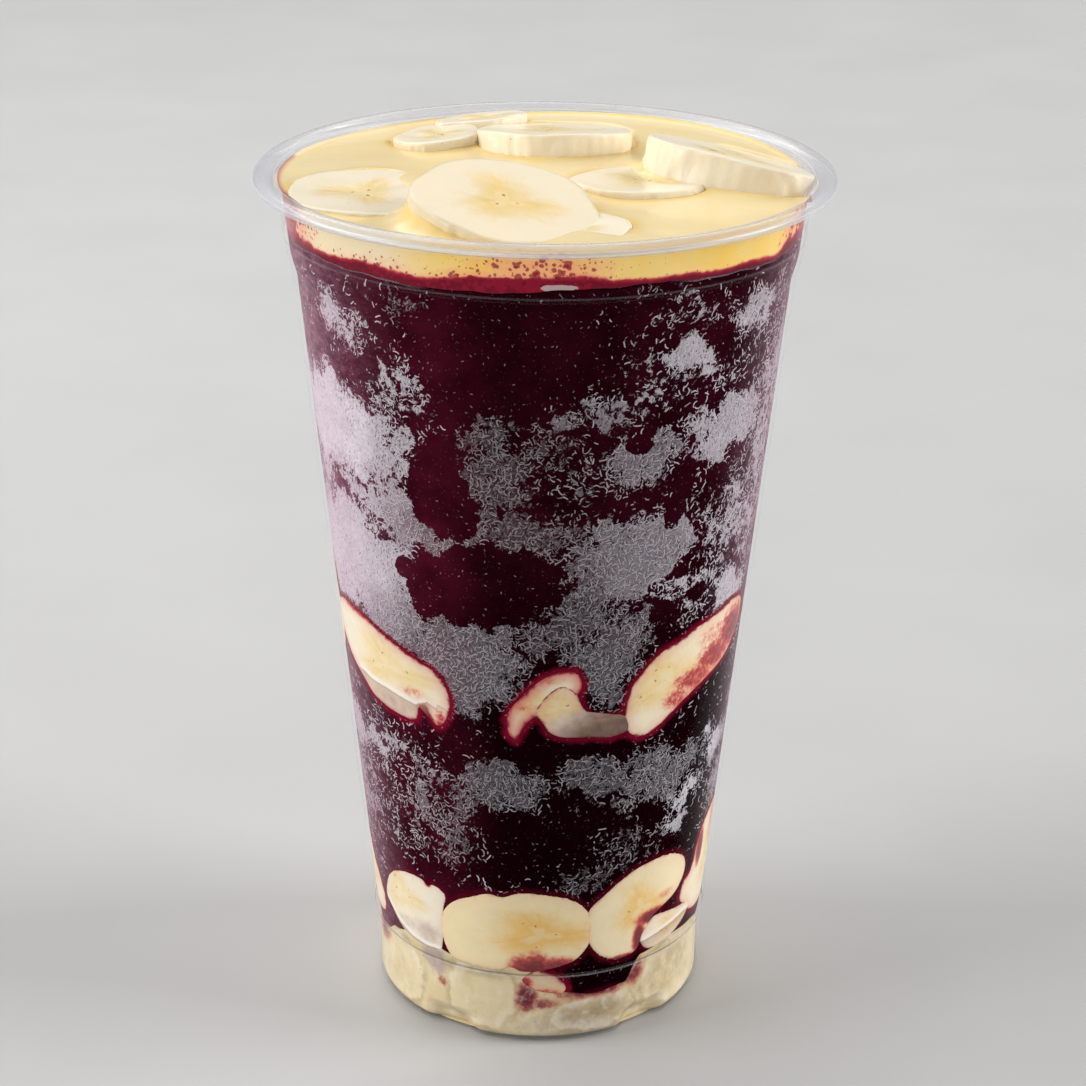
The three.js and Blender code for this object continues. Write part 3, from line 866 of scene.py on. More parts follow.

# Outlines, folds and centres are (angle, height) points. Smears and veils are (angle, height, degrees across,
# height of it, strength); veils are mostly painted shade, where a slice lies turned from the light or curls,
# and partly the grey of thin flesh. Proud is how far a slice reaches into the wall, and hollow is how deep
# the room for it is in what lies round it.
UNDER_MILK = {"hollow": 0.0, "proud": -0.1}
FRONT_SLICES = {
    "middle_slice_1": {
        "outline": ((-80, 76), (-72, 78.2), (-63, 78.5), (-54, 77.8), (-46.5, 76.4), (-36.8, 74.4),
                    (-30.4, 73), (-26.6, 70.3), (-25.6, 67.4), (-26.8, 64.4), (-29.6, 62.4), (-32, 63.4),
                    (-33.9, 65.6), (-36.4, 64.8), (-38, 62.2), (-45.9, 62.2), (-52, 62.8), (-57, 63.6),
                    (-60.6, 65), (-64, 66), (-68, 67.2), (-73, 69), (-78.6, 72)),
        "centre": (-48, 71), "juice": 0.4, "ripe": 0.2,
        "fold": ((-62, 67), (-56, 66.4), (-49, 66.3), (-42, 65.7), (-37.6, 65.3), (-34.4, 66.2)),
        "smears": ((-29, 63.5, 2, 2.4, 0.5), (-38.5, 67.6, 5, 1.2, 0.3), (-60, 78.8, 12, 1.0, 0.8)),
        "veils": ((-48, 63.4, 12, 2.6, 0.42),),
    },
    "middle_slice_2": {
        "outline": ((24.2, 64.8), (25.2, 70.2), (28.2, 73), (33.7, 76.2), (41.3, 77.6), (47.2, 79),
                    (56.1, 79.8), (65, 80.4), (73, 79), (75, 75), (68, 71), (60.8, 69), (53.4, 67.6),
                    (44.6, 65.4), (36, 62.1), (31.8, 60.8), (28.5, 61), (25.6, 62.2)),
        "juice": 0.32, "centre": (38, 70.4),
        "smears": ((41, 66.4, 5, 1.8, 0.5), (48, 69, 8, 2.4, 0.6), (57, 71.8, 8, 2.8, 0.7),
                   (67, 75, 8, 3.8, 0.8), (56, 76, 9, 2.4, 0.3)),
    },
    "middle_slice_3": {
        "outline": ((6.2, 72.6), (9.6, 71.4), (11.6, 68.4), (14.8, 66.3), (19.5, 66.0), (22.6, 66),
                    (25.2, 65), (25.8, 62.7), (20.7, 61.8), (14, 62.3), (7.2, 62.5), (3, 63.5), (0.6, 65.5),
                    (-1.5, 67.5), (0.3, 69.8), (3, 71.7)),
        "centre": (5, 68.6), "juice": 0.3, "proud": 0.13, "depth": 5.5,
        "veils": ((21, 61.6, 17, 6.4, 0.95),),
    },
    "middle_slice_4": {
        "outline": ((-9.3, 64.4), (-9, 67.2), (-5.4, 70.2), (-0.7, 73.4), (4.1, 75.1), (7.4, 75.4), (9.8, 75),
                    (11.4, 73), (10.6, 71), (6, 69), (2, 66.9), (-2, 66.4), (-5, 64.2), (-6.6, 62.1),
                    (-8.6, 62.8)),
        "centre": (-1.5, 69.4), "juice": 0.85, "depth": 6.5,
        "smears": ((-5, 68.6, 4, 1, 0.3), (2, 73.6, 4, 0.8, 0.3)),
    },
    "lower_slice_1": {
        "outline": ((-35, 20), (-34.4, 23.4), (-32.4, 25.6), (-28.3, 27.8), (-22, 29.4), (-16.6, 30.5),
                    (-12, 30.2), (-6.2, 31.3), (2, 31), (10, 29.9), (16.2, 27.2), (18.2, 23.4),
                    (16.8, 19.6), (12, 16.8), (4, 15.3), (-5, 14.6), (-9.6, 15.4), (-14.9, 14.4),
                    (-24.6, 14.6), (-31.5, 15.6)),
        "juice": 0.1, "smears": ((-1, 15, 6, 3.6, 0.85), (-5, 15, 5, 3.2, 0.75), (6, 15.6, 8, 2.2, 0.75)),
        "centre": (1, 22.6), "proud": 0.12, "ripe": 1.0,
    },
    "lower_slice_2": {
        "outline": ((36.6, 18.2), (38.4, 20.6), (42, 22.3), (48, 22), (56, 21.4), (63.6, 20.6), (62.5, 18.8),
                    (57.6, 17.1), (49, 15.7), (40.5, 15.7)),
        "juice": 0.12, "depth": 5, "proud": 0.16, "veils": ((50, 16.8, 12, 1.6, 0.2),),
        "fold": ((36, 17.6), (44, 18.2), (52, 18.8), (60, 19.4)),
    },
    "lower_slice_3": {
        "outline": ((15.4, 23), (16.4, 27.2), (21.9, 30), (26.5, 32), (31.3, 33.6), (37, 34.4), (44, 34.5),
                    (50, 33.7), (55, 32), (57, 29.4), (55.5, 27), (52, 25), (46, 23.6), (41, 22),
                    (37.9, 19.4), (35.4, 16.4), (29, 15.5), (24, 16.2), (18.4, 18.8)),
        "juice": 0.12, "centre": (36, 25.4), "ripe": 0.8,
        "smears": ((42, 22.6, 7, 1.4, 0.95), (36, 19, 2.2, 3.0, 1.0), (29, 15.4, 8, 0.9, 0.9),
                   (47, 26.2, 4, 1, 0.3)),
    },
    "lower_slice_4": {
        "outline": ((-64.5, 21.5), (-62, 25), (-57.5, 27.6), (-52, 29), (-46, 29.8), (-41, 29.6), (-39, 28.8),
                    (-36.4, 29.4), (-33, 28.8), (-31.6, 27.6), (-32.6, 25.4), (-33.4, 22), (-34, 18.3),
                    (-36, 15.7), (-43, 15.3), (-50, 15.8), (-56, 17), (-61.5, 19.6)),
        "juice": 0.08, "smears": ((-39, 29.6, 1.4, 0.9, 1.2),),
        "veils": ((-41, 18.8, 7, 2.8, 0.42), (-51, 18.8, 8, 1.6, 0.34)),
        "fold": ((-63, 20.3), (-56, 17.6), (-49, 16.2), (-42, 15.7), (-35, 15.9)), "centre": (-53, 24.4),
        "ripe": 0.0,
    },
    "lower_slice_5": {
        "outline": ((-98, 24), (-96, 29), (-89, 30.8), (-81, 29.6), (-75, 26.4), (-70, 23.4), (-67, 20.4),
                    (-67.4, 17.4), (-72, 15.8), (-84, 15.8), (-95, 18)),
        "juice": 0.25,
    },
    "lower_slice_6": {
        "outline": ((55.5, 22.6), (56.5, 26), (61, 27.4), (63, 30.6), (66, 35), (73, 37.4), (81, 37.6),
                    (92, 35.5), (100, 30), (101, 24), (95, 19), (84, 17.2), (72, 17.4), (63.6, 18.6),
                    (60, 20.6)),
        "juice": 0.3, "smears": ((66.5, 31, 2.4, 3.4, 1.1), (57, 27.2, 3, 0.9, 1.0), (80, 34, 6, 5, 0.4)),
    },
    "foot_slice_1": {
        "outline": ((-80, 6), (-77, 10), (-70, 13.6), (-60, 14.8), (-51, 13.8), (-46, 10.6), (-45.4, 6),
                    (-49, 3), (-60, 2.2), (-74, 2.6)),
        "juice": 0.0, "depth": 5, **UNDER_MILK,
    },
    "foot_slice_2": {
        "outline": ((-33, 8), (-31.6, 12.6), (-27, 15), (-19, 15), (-11, 13.6), (-7.4, 9.6), (-8.6, 5),
                    (-15, 2.4), (-26, 2.6), (-32, 4.6)),
        "juice": 0.0, "depth": 5, **UNDER_MILK, "smears": ((-7, 9, 2.6, 3, 0.7),),
    },
    "foot_slice_3": {
        "outline": ((-5.6, 12.6), (-3.6, 14.4), (1, 15), (6, 13.8), (10, 11.4), (8.6, 10), (3.5, 10.2),
                    (-2, 11)),
        "juice": 0.4, "depth": 4, "proud": 0.16, "smears": ((-5, 12.2, 3, 1.8, 0.7), (3, 10.4, 5, 0.8, 0.5)),
    },
    "foot_slice_4": {
        "outline": ((5, 5), (10, 8.2), (19, 9), (28, 9.4), (35, 7), (34, 3.6), (23, 2), (10, 2.4)),
        "juice": 0.0, "depth": 4, **UNDER_MILK, "smears": ((20, 9, 8, 0.8, 0.6),),
        "veils": ((20, 3, 14, 4, 0.22),),
    },
    "foot_slice_5": {
        "outline": ((39, 7), (40, 11.6), (46, 14.8), (58, 15.2), (70, 14.2), (77.6, 10.6), (77, 5), (69, 2.6),
                    (56, 2.2), (44, 3)),
        "juice": 0.0, "depth": 5, **UNDER_MILK, "smears": ((40, 12.4, 3, 3.4, 0.8), (74, 11, 3, 1, 0.6)),
        "veils": ((48, 8, 8, 5, 0.18),),
    },
}
BACK_SLICE = {"juice": 0.45}        # a slice out of sight: its outline comes from its solid
DEFAULT_SLICE = {"proud": 0.1, "depth": 7.0, "ripe": 0.35, "smears": (), "veils": (), "fold": ()}


class WallSlice:
    """One slice pressed against the wall: its centre, and its outline in millimetres along the wall."""

    def __init__(self, node):
        self.node = node
        spec = {**DEFAULT_SLICE, **FRONT_SLICES.get(node, BACK_SLICE)}
        self.spec = spec
        points = np.array(spec.get("outline") or traced_outline(node), float)
        middle = points[0, 0]
        points[:, 0] = middle + turn_between(points[:, 0], middle)
        curve = closed_curve(points, SLICE_COLUMNS)
        centre = spec.get("centre") or ((curve[:, 0].min() + curve[:, 0].max()) / 2, curve[:, 1].mean())
        self.angle, self.height = centre
        self.radius = float(inner_radius(self.angle, self.height))
        self.outline = self.flat(curve[:, 0], curve[:, 1])
        if np.cross(self.outline, np.roll(self.outline, -1, 0)).sum() < 0:
            self.outline = self.outline[::-1]
        self.outline = roughened(self.outline, len(node) + self.angle, 0.14)
        self.half = np.abs(self.outline).max(0)

    def flat(self, angle, height):
        """Places on the wall as millimetres across and up from the slice's centre."""
        across = np.radians(turn_between(angle, self.angle)) * self.radius
        return np.stack([across, height - self.height], axis=-1)


def roughened(outline, seed, size):
    """An outline with small uneven waves."""
    share = np.linspace(0, 2 * math.pi, len(outline), endpoint=False)
    rough = sum(np.sin(n * share + seed * n) / n ** 0.5 for n in (5, 8, 13, 21, 30))
    outwards = outline / np.linalg.norm(outline, axis=1)[:, None]
    return outline + outwards * (rough * size / 2)[:, None]


def traced_outline(node):
    """The outline of a packed slice where it meets the wall, as (angle, height) points in order."""
    points = np.array([corner.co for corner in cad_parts[node].data.vertices]) / MM
    angle = np.degrees(np.arctan2(points[:, 0], -points[:, 1]))
    angle = angle[0] + turn_between(angle, angle[0])
    radius = np.hypot(points[:, 0], points[:, 1])
    touching = radius > inner_radius(angle, points[:, 2]) - TOUCHING
    flat = np.column_stack([angle, points[:, 2]])[touching]
    centre = flat.mean(0)
    offset = (flat - centre) * (math.radians(1) * radius[touching].mean(), 1)
    turn = np.arctan2(offset[:, 1], offset[:, 0])
    size = np.hypot(*offset.T)
    sectors = 14
    kept = []
    for sector in range(sectors):
        low = -math.pi + sector * math.tau / sectors
        inside = np.flatnonzero((turn >= low) & (turn < low + math.tau / sectors))
        if len(inside):
            kept.append(flat[inside[np.argmax(size[inside])]])
    return kept


def row_and_number(node):
    """A node's name in two parts, for sorting."""
    row, number = node.rsplit("_", 1)
    return row, int(number)


def wall_slices(rows):
    """The slices of some rows, in the order of their nodes."""
    names = [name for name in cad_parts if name.rsplit("_", 1)[0] in rows]
    return [WallSlice(name) for name in sorted(names, key=row_and_number)]


ROWS = ("middle_slice", "lower_slice", "foot_slice")


def gap_to_slices(angle, height, slices, far=8.0):
    """Distance along the wall to the nearest slice, its depth and its juice.

    The distance is negative where a slice covers the place.
    """
    nearest = np.full(len(angle), far)
    depth, juice = np.zeros(len(angle)), np.zeros(len(angle))
    for piece in slices:
        distance = near_outline(piece.flat(angle, height), piece.outline, far, far)
        closer = distance < nearest
        nearest[closer] = distance[closer]
        depth[closer] = piece.spec.get("hollow", piece.spec["depth"] + ROOM_BEHIND)
        juice[closer] = piece.spec["juice"]
    return nearest, depth, juice


def hollow_share(gap):
    """How much of its depth the room for a slice has, at a distance from the slice's outline."""
    return smooth((-gap - 0.45) / 0.9)


def smear_amount(angle, height, smears):
    """How strongly the juice smears show at each place."""
    amount = np.zeros(len(angle))
    for middle, level, wide, tall, strength in smears:
        off = np.hypot(turn_between(angle, middle) / wide, (height - level) / tall)
        amount = np.maximum(amount, strength * np.clip(1.5 - off, 0, 1))
    return amount


def make_wall_slice(piece, material):
    """A slice whose face lies along the wall, with a softly rounded edge."""
    spec = piece.spec
    thickness, edge = spec["depth"], 0.3
    half = piece.half.min()
    fold = np.array(spec["fold"], float)
    stops = (0, 0.6, 0.66, 0.71, 0.76, 0.9, 0.94, 1)
    spread = (0, 1 - edge / half, 1 - 0.3 * edge / half, 1, 1, 0.97, 0.9, 0)
    sink = (0, 0, 0.08, 0.35, 0.8, thickness - 0.5, thickness, thickness)

    def shape(u, v):
        column = np.round(u * SLICE_COLUMNS).astype(int) % SLICE_COLUMNS
        flat = piece.outline[column] * np.interp(v, stops, spread)[:, None]
        depth = np.interp(v, stops, sink)
        height = piece.height + flat[:, 1]
        angle = piece.angle + np.degrees(flat[:, 0] / piece.radius)
        radius = inner_radius(angle, height) + spec["proud"] - depth
        return place(angle, radius, height), {
            "flesh": np.column_stack([flat / piece.half, depth]),
            "edge": -outline_distance(flat, piece.outline),
            "juice": spec["juice"] + 0 * depth,
            "smear": smear_amount(angle, height, spec["smears"]),
            "veil": smear_amount(angle, height, spec["veils"]),
            "fold": path_distance(flat, piece.flat(*fold.T)) if len(fold) else 9 + 0 * depth,
            "soak": (1.0 if piece.node.startswith("foot") else 0.1) + 0 * depth,
            "ripe": spec["ripe"] + 0 * depth,
        }

    made = skin(piece.node.replace("slice", "banana"), SLICE_COLUMNS, SLICE_ROWS, shape)
    dress(made, material, "banana", piece.node)


# ---------------------------------------------------------------- the filling

# Frost on the wall: (angle, height, degrees across, height of it, cover, solidity). Solidity is partly
# painted light: high at the lit flanks, low in the shaded middle.
FROST = (
    (-62, 113, 22, 8, 1.25, 1.0), (-62, 90, 25, 9.5, 1.25, 0.95), (-60, 102.5, 22, 4, 0.7, 0.92),
    (-44, 81, 12, 6, 0.95, 0.7), (-52, 133, 9, 4, 0.64, 0.9), (-35, 124, 8, 5, 0.5, 0.85),
    (-40, 111, 7, 10, 0.6, 0.85), (-31, 138, 4, 3, 0.45, 0.2), (-12, 111, 9, 8, 0.72, 0.3),
    (-1, 116, 7, 5, 0.5, 0.34), (11, 109, 8, 6, 0.24, 0.55), (-12, 102, 9, 4, 0.66, 0.34),
    (24, 96, 15, 6.5, 1.15, 0.62), (11, 90, 6, 7, 0.85, 0.42), (14, 122, 11, 3.6, 0.44, 0.6),
    (24, 113.5, 10, 4.4, 0.8, 0.6), (50, 116, 13, 4.8, 0.95, 0.85), (34, 129.5, 7, 2.6, 0.85, 0.9),
    (28, 126, 20, 7, 0.2, 0.85), (56, 134, 8, 4, 0.8, 0.85), (54, 126, 10, 4, 0.22, 0.85),
    (72, 112, 12, 24, 0.5, 0.8), (56, 97, 10, 6, 0.56, 0.85), (42, 103, 13, 7, 0.26, 0.8),
    (-22, 76, 17, 8.5, 1.0, 0.5), (18, 78, 11, 9, 0.74, 0.45), (43, 87, 11, 5, 0.5, 0.9),
    (61, 83, 9, 4, 0.95, 0.9), (-13, 52, 15, 4.4, 0.8, 0.42), (-60, 54, 6, 3, 0.7, 0.9),
    (-74, 54, 9, 4.5, 0.8, 0.9), (-47, 53, 14, 8, 0.36, 0.85), (-31, 43, 13, 8, 0.42, 0.4),
    (16, 55, 11, 4, 0.7, 0.42), (38, 52, 15, 5, 0.7, 0.5), (53, 46, 8, 2.8, 0.62, 0.95),
    (65, 53, 8, 4, 0.66, 0.95), (45, 41, 7, 2, 0.5, 0.9), (28, 38, 13, 5, 0.36, 0.35),
    (16, 32, 8, 4, 0.36, 0.3), (-72, 42, 13, 13, 0.4, 0.7), (73, 42, 11, 13, 0.4, 0.7),
    (-28, 99, 12, 2.4, 1.15, 0.55), (-5, 101, 12, 3.6, 0.8, 0.34), (4, 84, 11, 5, 0.7, 0.35),
    (-39, 100, 6, 5, 1.05, 0.7), (-45, 42, 16, 8, 0.24, 0.8), (6, 131, 14, 6, 0.2, 0.7),
    (40, 138, 16, 3, 0.25, 0.8), (90, 124, 13, 8, 0.85, 0.7), (84, 98, 9, 7, 0.7, 0.6),
    (94, 86, 10, 5, 0.6, 0.5), (88, 56, 10, 6, 0.75, 0.6), (-94, 126, 12, 7, 0.8, 0.7),
    (-90, 100, 12, 9, 0.8, 0.7), (-92, 58, 12, 7, 0.75, 0.6),
)
# Places inside the frost where wet pulp touches the wall: (angle, height, degrees across, height of it,
# strength); a weak one only breaks the frost up.
CLEAR = (
    (-62, 103, 18, 4, 0.46), (-46, 97, 8, 4, 0.42), (-62, 117, 8, 2.4, 0.3), (-49, 125.5, 7, 2.6, 0.75),
    (-14, 90.6, 20, 7.6, 1), (-31, 88.4, 6, 5.4, 1), (-37.4, 91.4, 3, 2, 1), (-26, 107, 8, 9, 0.95),
    (-20, 103, 5, 5, 0.9), (23, 116, 3.4, 1.7, 1), (36.5, 108, 4.6, 4, 0.7), (34, 103, 3.4, 3.4, 0.75),
    (35, 84, 7.5, 3.6, 0.62), (45, 86, 5, 2.6, 0.62), (37, 91, 6, 1.6, 0.6), (48, 107, 5, 2.4, 0.7),
    (-8, 132, 24, 10, 1), (2, 61, 24, 3, 1), (0, 42, 15, 6, 0.9), (56, 60, 12, 4, 0.5),
)


def frost_marks(angle, height):
    """How much frost lies on the wall, how solid it is, which also paints the light on it, and where it is
    worn off.

    At the front it lies in patches, and round the back it follows a loose rule.
    """
    back = smooth((np.abs(angle) - 76) / 22)
    loose = 0.62 + wave(angle + 0.9 * height, (0.34, 3, 40)) + wave(angle - 1.7 * height, (0.32, 4, 200))
    cover = back * (loose + 0.15) * smooth((height - 28) / 8) - 0.12
    weight = 0.3 * back + 0.02
    solid = weight * (0.7 + wave(angle + 2 * height, (0.25, 2, 0)))
    clear = np.zeros(len(angle))
    aside = angle + 1.8 * np.sin(height * 0.42 + 1) + 1.2 * np.sin(height * 1.05 + angle * 0.1)
    above = height + 1.1 * np.sin(angle * 0.27 + 2) + 0.7 * np.sin(angle * 0.63 + height * 0.2)
    for middle, level, wide, tall, amount, solidity_and_painted_light in FROST:
        off = np.hypot(turn_between(aside, middle) / wide, (above - level) / tall)
        bell = np.clip(1.1 - 0.55 * off ** 2, 0, 1)
        cover = np.maximum(cover, amount * bell)
        weight = weight + bell ** 2
        solid = solid + bell ** 2 * solidity_and_painted_light
    for middle, level, wide, tall, strength in CLEAR:
        off = np.hypot(turn_between(angle, middle) / wide, (height - level) / tall)
        clear = np.maximum(clear, strength * np.clip(1.5 - off, 0, 1))
    return {"frost": cover - smooth((19 - height) / 5), "solid": solid / weight, "clear": clear}


def make_pulp():
    """The frozen pulp, with hollows where slices lie against the wall."""
    filling = millimetres(bpy.context.scene.acai_filling)
    slices = wall_slices(ROWS)
    columns, rows, cap = 448, 212, 0.04

    def shape(u, v):
        angle = u * 360 - 180
        along = np.clip((v - cap) / (1 - 2 * cap), 0, 1)
        top, bottom = cream_floor(angle) + 0.05, milk_top(angle)
        height = top + (bottom - top) * along
        gap, depth, juice = gap_to_slices(angle, height, slices)
        radius = inner_radius(angle, height) + filling.reach
        radius = radius - depth * hollow_share(gap)
        share = np.clip(np.minimum(v, 1 - v) / cap, 0, 1)
        # The mist at the flanks, below, is partly painted light, where the side lights fall.
        low = smooth((78 - height) / 14)
        sides = 1 - 0.65 * smooth((np.abs(angle) - 78) / 20)
        left = smooth((-angle - 32 - 10 * low) / 45) * smooth((170 + angle) / 60)
        right = smooth((angle - 44 - 12 * low) / 42) * smooth((170 - angle) / 60)
        # Painted light on the pulp: lighter higher up and towards the left.
        lit = 0.04 + 0.26 * smooth((height - 68) / 34)
        lit = lit + 0.5 * smooth((-angle - 10) / 22) * smooth((170 + angle) / 60)
        marks = {
            "gap": gap,
            "tinge": np.clip(juice * 2.4, 0.25, 0.95),
            "lit": np.clip(lit, 0, 0.8),
            "mist": np.maximum(left, 0.8 * right) * sides,
            **frost_marks(angle, height),
        }
        return place(angle, radius * share, height), marks

    piece = skin("acai_pulp", columns, rows, shape)
    dress(piece, pulp_material(), "acai", "acai")


def make_milk():
    """The milk in the foot, which fills the cup's bottom corner and the recess over its base."""
    wall = bpy.context.scene.acai_cup.wall / MM
    slices = wall_slices(("lower_slice", "foot_slice"))
    columns, rows = 320, 96
    stains = ((-4, 9.2, 4, 3.0, 0.95), (2, 8.2, 6, 1.2, 0.7), (35, 12, 5, 3, 0.9), (-78, 12, 10, 3, 0.9),
              (20, 10, 14, 1.6, 0.9), (-36, 9.4, 2, 1, 0.7), (150, 9, 14, 4, 0.8), (-140, 8, 16, 4, 0.8),
              (100, 9, 10, 4, 0.8))
    shades = ((20, 5, 18, 5, 0.7), (52, 9, 18, 6, 0.5), (-24, 13.6, 16, 1.6, 0.5), (-60, 6, 16, 4, 0.25),
              (170, 8, 40, 5, 0.4))
    # Veils on the milk: a grey-lilac patch, painted shade low in the middle, and a grey patch at the back.
    veils = ((-39, 14, 5, 3.6, 0.9), (8, 3, 30, 3, 0.4), (170, 10, 14, 5, 0.7))
    under_milk = [piece for piece in slices if piece.spec.get("hollow") == 0.0]

    def shape(u, v):
        angle = u * 360 - 180
        top = milk_top(angle) + 0.3
        along = np.clip((v - 0.08) / 0.72, 0, 1)
        height = np.maximum(top + (wall - top) * along, wall)
        gap, depth, _ = gap_to_slices(angle, height, slices)
        radius = inner_radius(angle, height) + MILK_REACH - depth * hollow_share(gap)
        radius = radius * np.clip(v / 0.08, 0, 1)
        under = np.clip((v - 0.8) / 0.2, 0, 1)
        flat = np.interp(under, (0, 0.4, 0.5, 1), (CORNER_CENTRE[0], BASE_RING_RADIUS + 0.4,
                                                   BASE_RING_RADIUS - 0.5, 0))
        rise = np.interp(under, (0, 0.4, 0.5, 1), (0, 0, RECESS_TOP, RECESS_TOP))
        below = v > 0.8
        places = place(angle, np.where(below, flat, radius), np.where(below, wall + rise, height))
        return places, {
            "lump": gap_to_slices(angle, height, under_milk)[0],
            "stain": smear_amount(angle, height, stains),
            "shade": smear_amount(angle, height, shades),
            "veil": smear_amount(angle, height, veils),
        }

    piece = skin("milk_in_foot", columns, rows, shape)
    dress(piece, milk_material(), "milk", "milk_base")


# ---------------------------------------------------------------- slices on top

# Middle of the upper face, half sizes, turn, climb towards +X and +Y in degrees, and thickness.
TOP_SLICES = {
    # The first slice's high ripe value also darkens its flesh: painted shade, as it catches the most light.
    "top_slice_1": {"at": (-6, -26.5, 153.4), "half": (15.2, 14.8), "rise": (-9, 10.5), "thick": 6,
                    "bare": 1.6, "ripe": 1.0},
    "top_slice_2": {"at": (1.5, 23.8, 152.7), "half": (13.4, 13), "rise": (0, -9.2), "thick": 5.5,
                    "bare": 3.5, "bumps": 0.013},
    "top_slice_3": {"at": (32.1, 4.4, 153.3), "half": (16, 12.6), "turn": -35, "rise": (-12.5, -9.2),
                    "thick": 6.5, "bare": 4.4, "bumps": 0.011},
    "top_slice_4": {"at": (-29.8, -11, 150.5), "half": (14.6, 12.2), "turn": 75, "rise": (-3.4, 0),
                    "thick": 5, "bare": 0.3},
    "top_slice_5": {"at": (15.9, -3, 150.8), "half": (11.8, 10.6), "turn": 16, "rise": (0, -3), "thick": 4.5,
                    "bare": 1.1},
    "top_slice_6": {"at": (-19.1, 24.6, 151.5), "half": (7.6, 7.6), "turn": 10, "rise": (6, -2), "thick": 4.5,
                    "bare": 1.6},
    "top_slice_7": {"at": (-11.6, 35.4, 152), "half": (8.6, 4.6), "turn": 22, "rise": (4, -4), "thick": 4.5,
                    "bare": 1.4},
    "top_slice_8": {"at": (1.5, -33, 150.2), "half": (12.4, 10.4), "turn": 12, "rise": (3, 2), "thick": 5,
                    "bare": 0.4},
}
TOP_COLUMNS = 144
TOP_ROWS = 56


class TopSlice:
    """One slice lying on the condensed milk."""

    def __init__(self, node, spec):
        self.node = node
        self.at = np.array(spec["at"], float)
        self.half = np.array(spec["half"], float)
        self.thick = spec["thick"]
        self.bare = spec["bare"]
        seed = sum(map(ord, node)) % 17
        share = np.linspace(0, math.tau, TOP_COLUMNS, endpoint=False)
        bulge = 1 + 0.022 * np.cos(5 * share + self.half[0] * 3) + 0.02 * np.cos(3 * share + self.half[1])
        flat = np.column_stack([np.cos(share), np.sin(share)]) * self.half * bulge[:, None]
        self.local = roughened(flat, seed, 0.3)
        self.seed = seed
        self.bumps = spec.get("bumps", 0.009)
        self.ripe = spec.get("ripe", 0.2)
        climb_x, climb_y = spec.get("rise", (0, 0))
        self.frame = rotation("y", -climb_x) @ rotation("x", climb_y) @ rotation("z", spec.get("turn", 0))
        self.outline = (self.local @ self.frame[:2, :2].T) + self.at[:2]

    def placed(self, points):
        """Points of the slice's own space, in the cup's."""
        return points @ self.frame.T + self.at

    def top_at(self, x, y):
        """Height of the slice's upper face over a place."""
        normal = self.frame[:, 2]
        return self.at[2] - ((x - self.at[0]) * normal[0] + (y - self.at[1]) * normal[1]) / normal[2]


def rotation(axis, degrees):
    """A rotation matrix about x, y or z."""
    c, s = math.cos(math.radians(degrees)), math.sin(math.radians(degrees))
    rows = {"x": ((1, 0, 0), (0, c, -s), (0, s, c)), "y": ((c, 0, s), (0, 1, 0), (-s, 0, c)),
            "z": ((c, -s, 0), (s, c, 0), (0, 0, 1))}
    return np.array(rows[axis], float)


def make_top_slice(piece, material):
    """A slice with a rounded edge, a ribbed side and a face that dips towards its core."""
    half, thick, edge = piece.half.min(), piece.thick, 0.45
    stops = (0, 0.5, 0.55, 0.6, 0.64, 0.8, 0.86, 0.9, 1)
    spread = (0, 1 - edge / half, 1 - 0.35 * edge / half, 1 - 0.05 * edge / half, 1, 0.995, 0.98, 0.92, 0)
    sink = (0, 0, 0.12, 0.4, 0.75, thick - 0.9, thick - 0.2, thick, thick)

    def shape(u, v):
        column = np.round(u * TOP_COLUMNS).astype(int) % TOP_COLUMNS
        share = np.interp(v, stops, spread)
        depth = np.interp(v, stops, sink)
        turn = u * math.tau
        side = smooth((v - 0.55) / 0.1) * smooth((0.92 - v) / 0.05)
        ribs = np.sin(15 * turn + 2.6 * np.sin(4 * turn + piece.seed) + depth * np.sin(3 * turn))
        ribs = ribs * (0.7 + 0.5 * np.sin(5 * turn + piece.seed)) + 0.4 * np.sin(37 * turn + piece.seed)
        flat = piece.local[column] * (share * (1 + piece.bumps * side * ribs))[:, None]
        reach = np.hypot(*(flat / piece.half).T)
        face = smooth((0.56 - v) / 0.06)
        star = 0.1 * np.cos(3 * turn + piece.seed) * np.exp(-((reach - 0.35) / 0.2) ** 2)
        rough = 0.05 * np.sin(5 * turn + 6 * reach + piece.seed) * reach
        dip = face * (0.3 * np.exp(-(reach / 0.5) ** 2) - star - rough)
        marks = {"flesh": np.column_stack([flat / piece.half, depth]), "edge": 0 * depth + 8,
                 "fold": 0 * depth + 9, "ripe": 0 * depth + piece.ripe}
        points = piece.placed(np.column_stack([flat, -depth - dip]))
        room = inner_radius(0, points[:, 2]) - 0.3
        points[:, :2] *= np.minimum(1, room / np.hypot(points[:, 0], points[:, 1]))[:, None]
        return points, marks

    made = skin(piece.node.replace("slice", "banana"), TOP_COLUMNS, TOP_ROWS, shape)
    dress(made, material, "banana", piece.node)


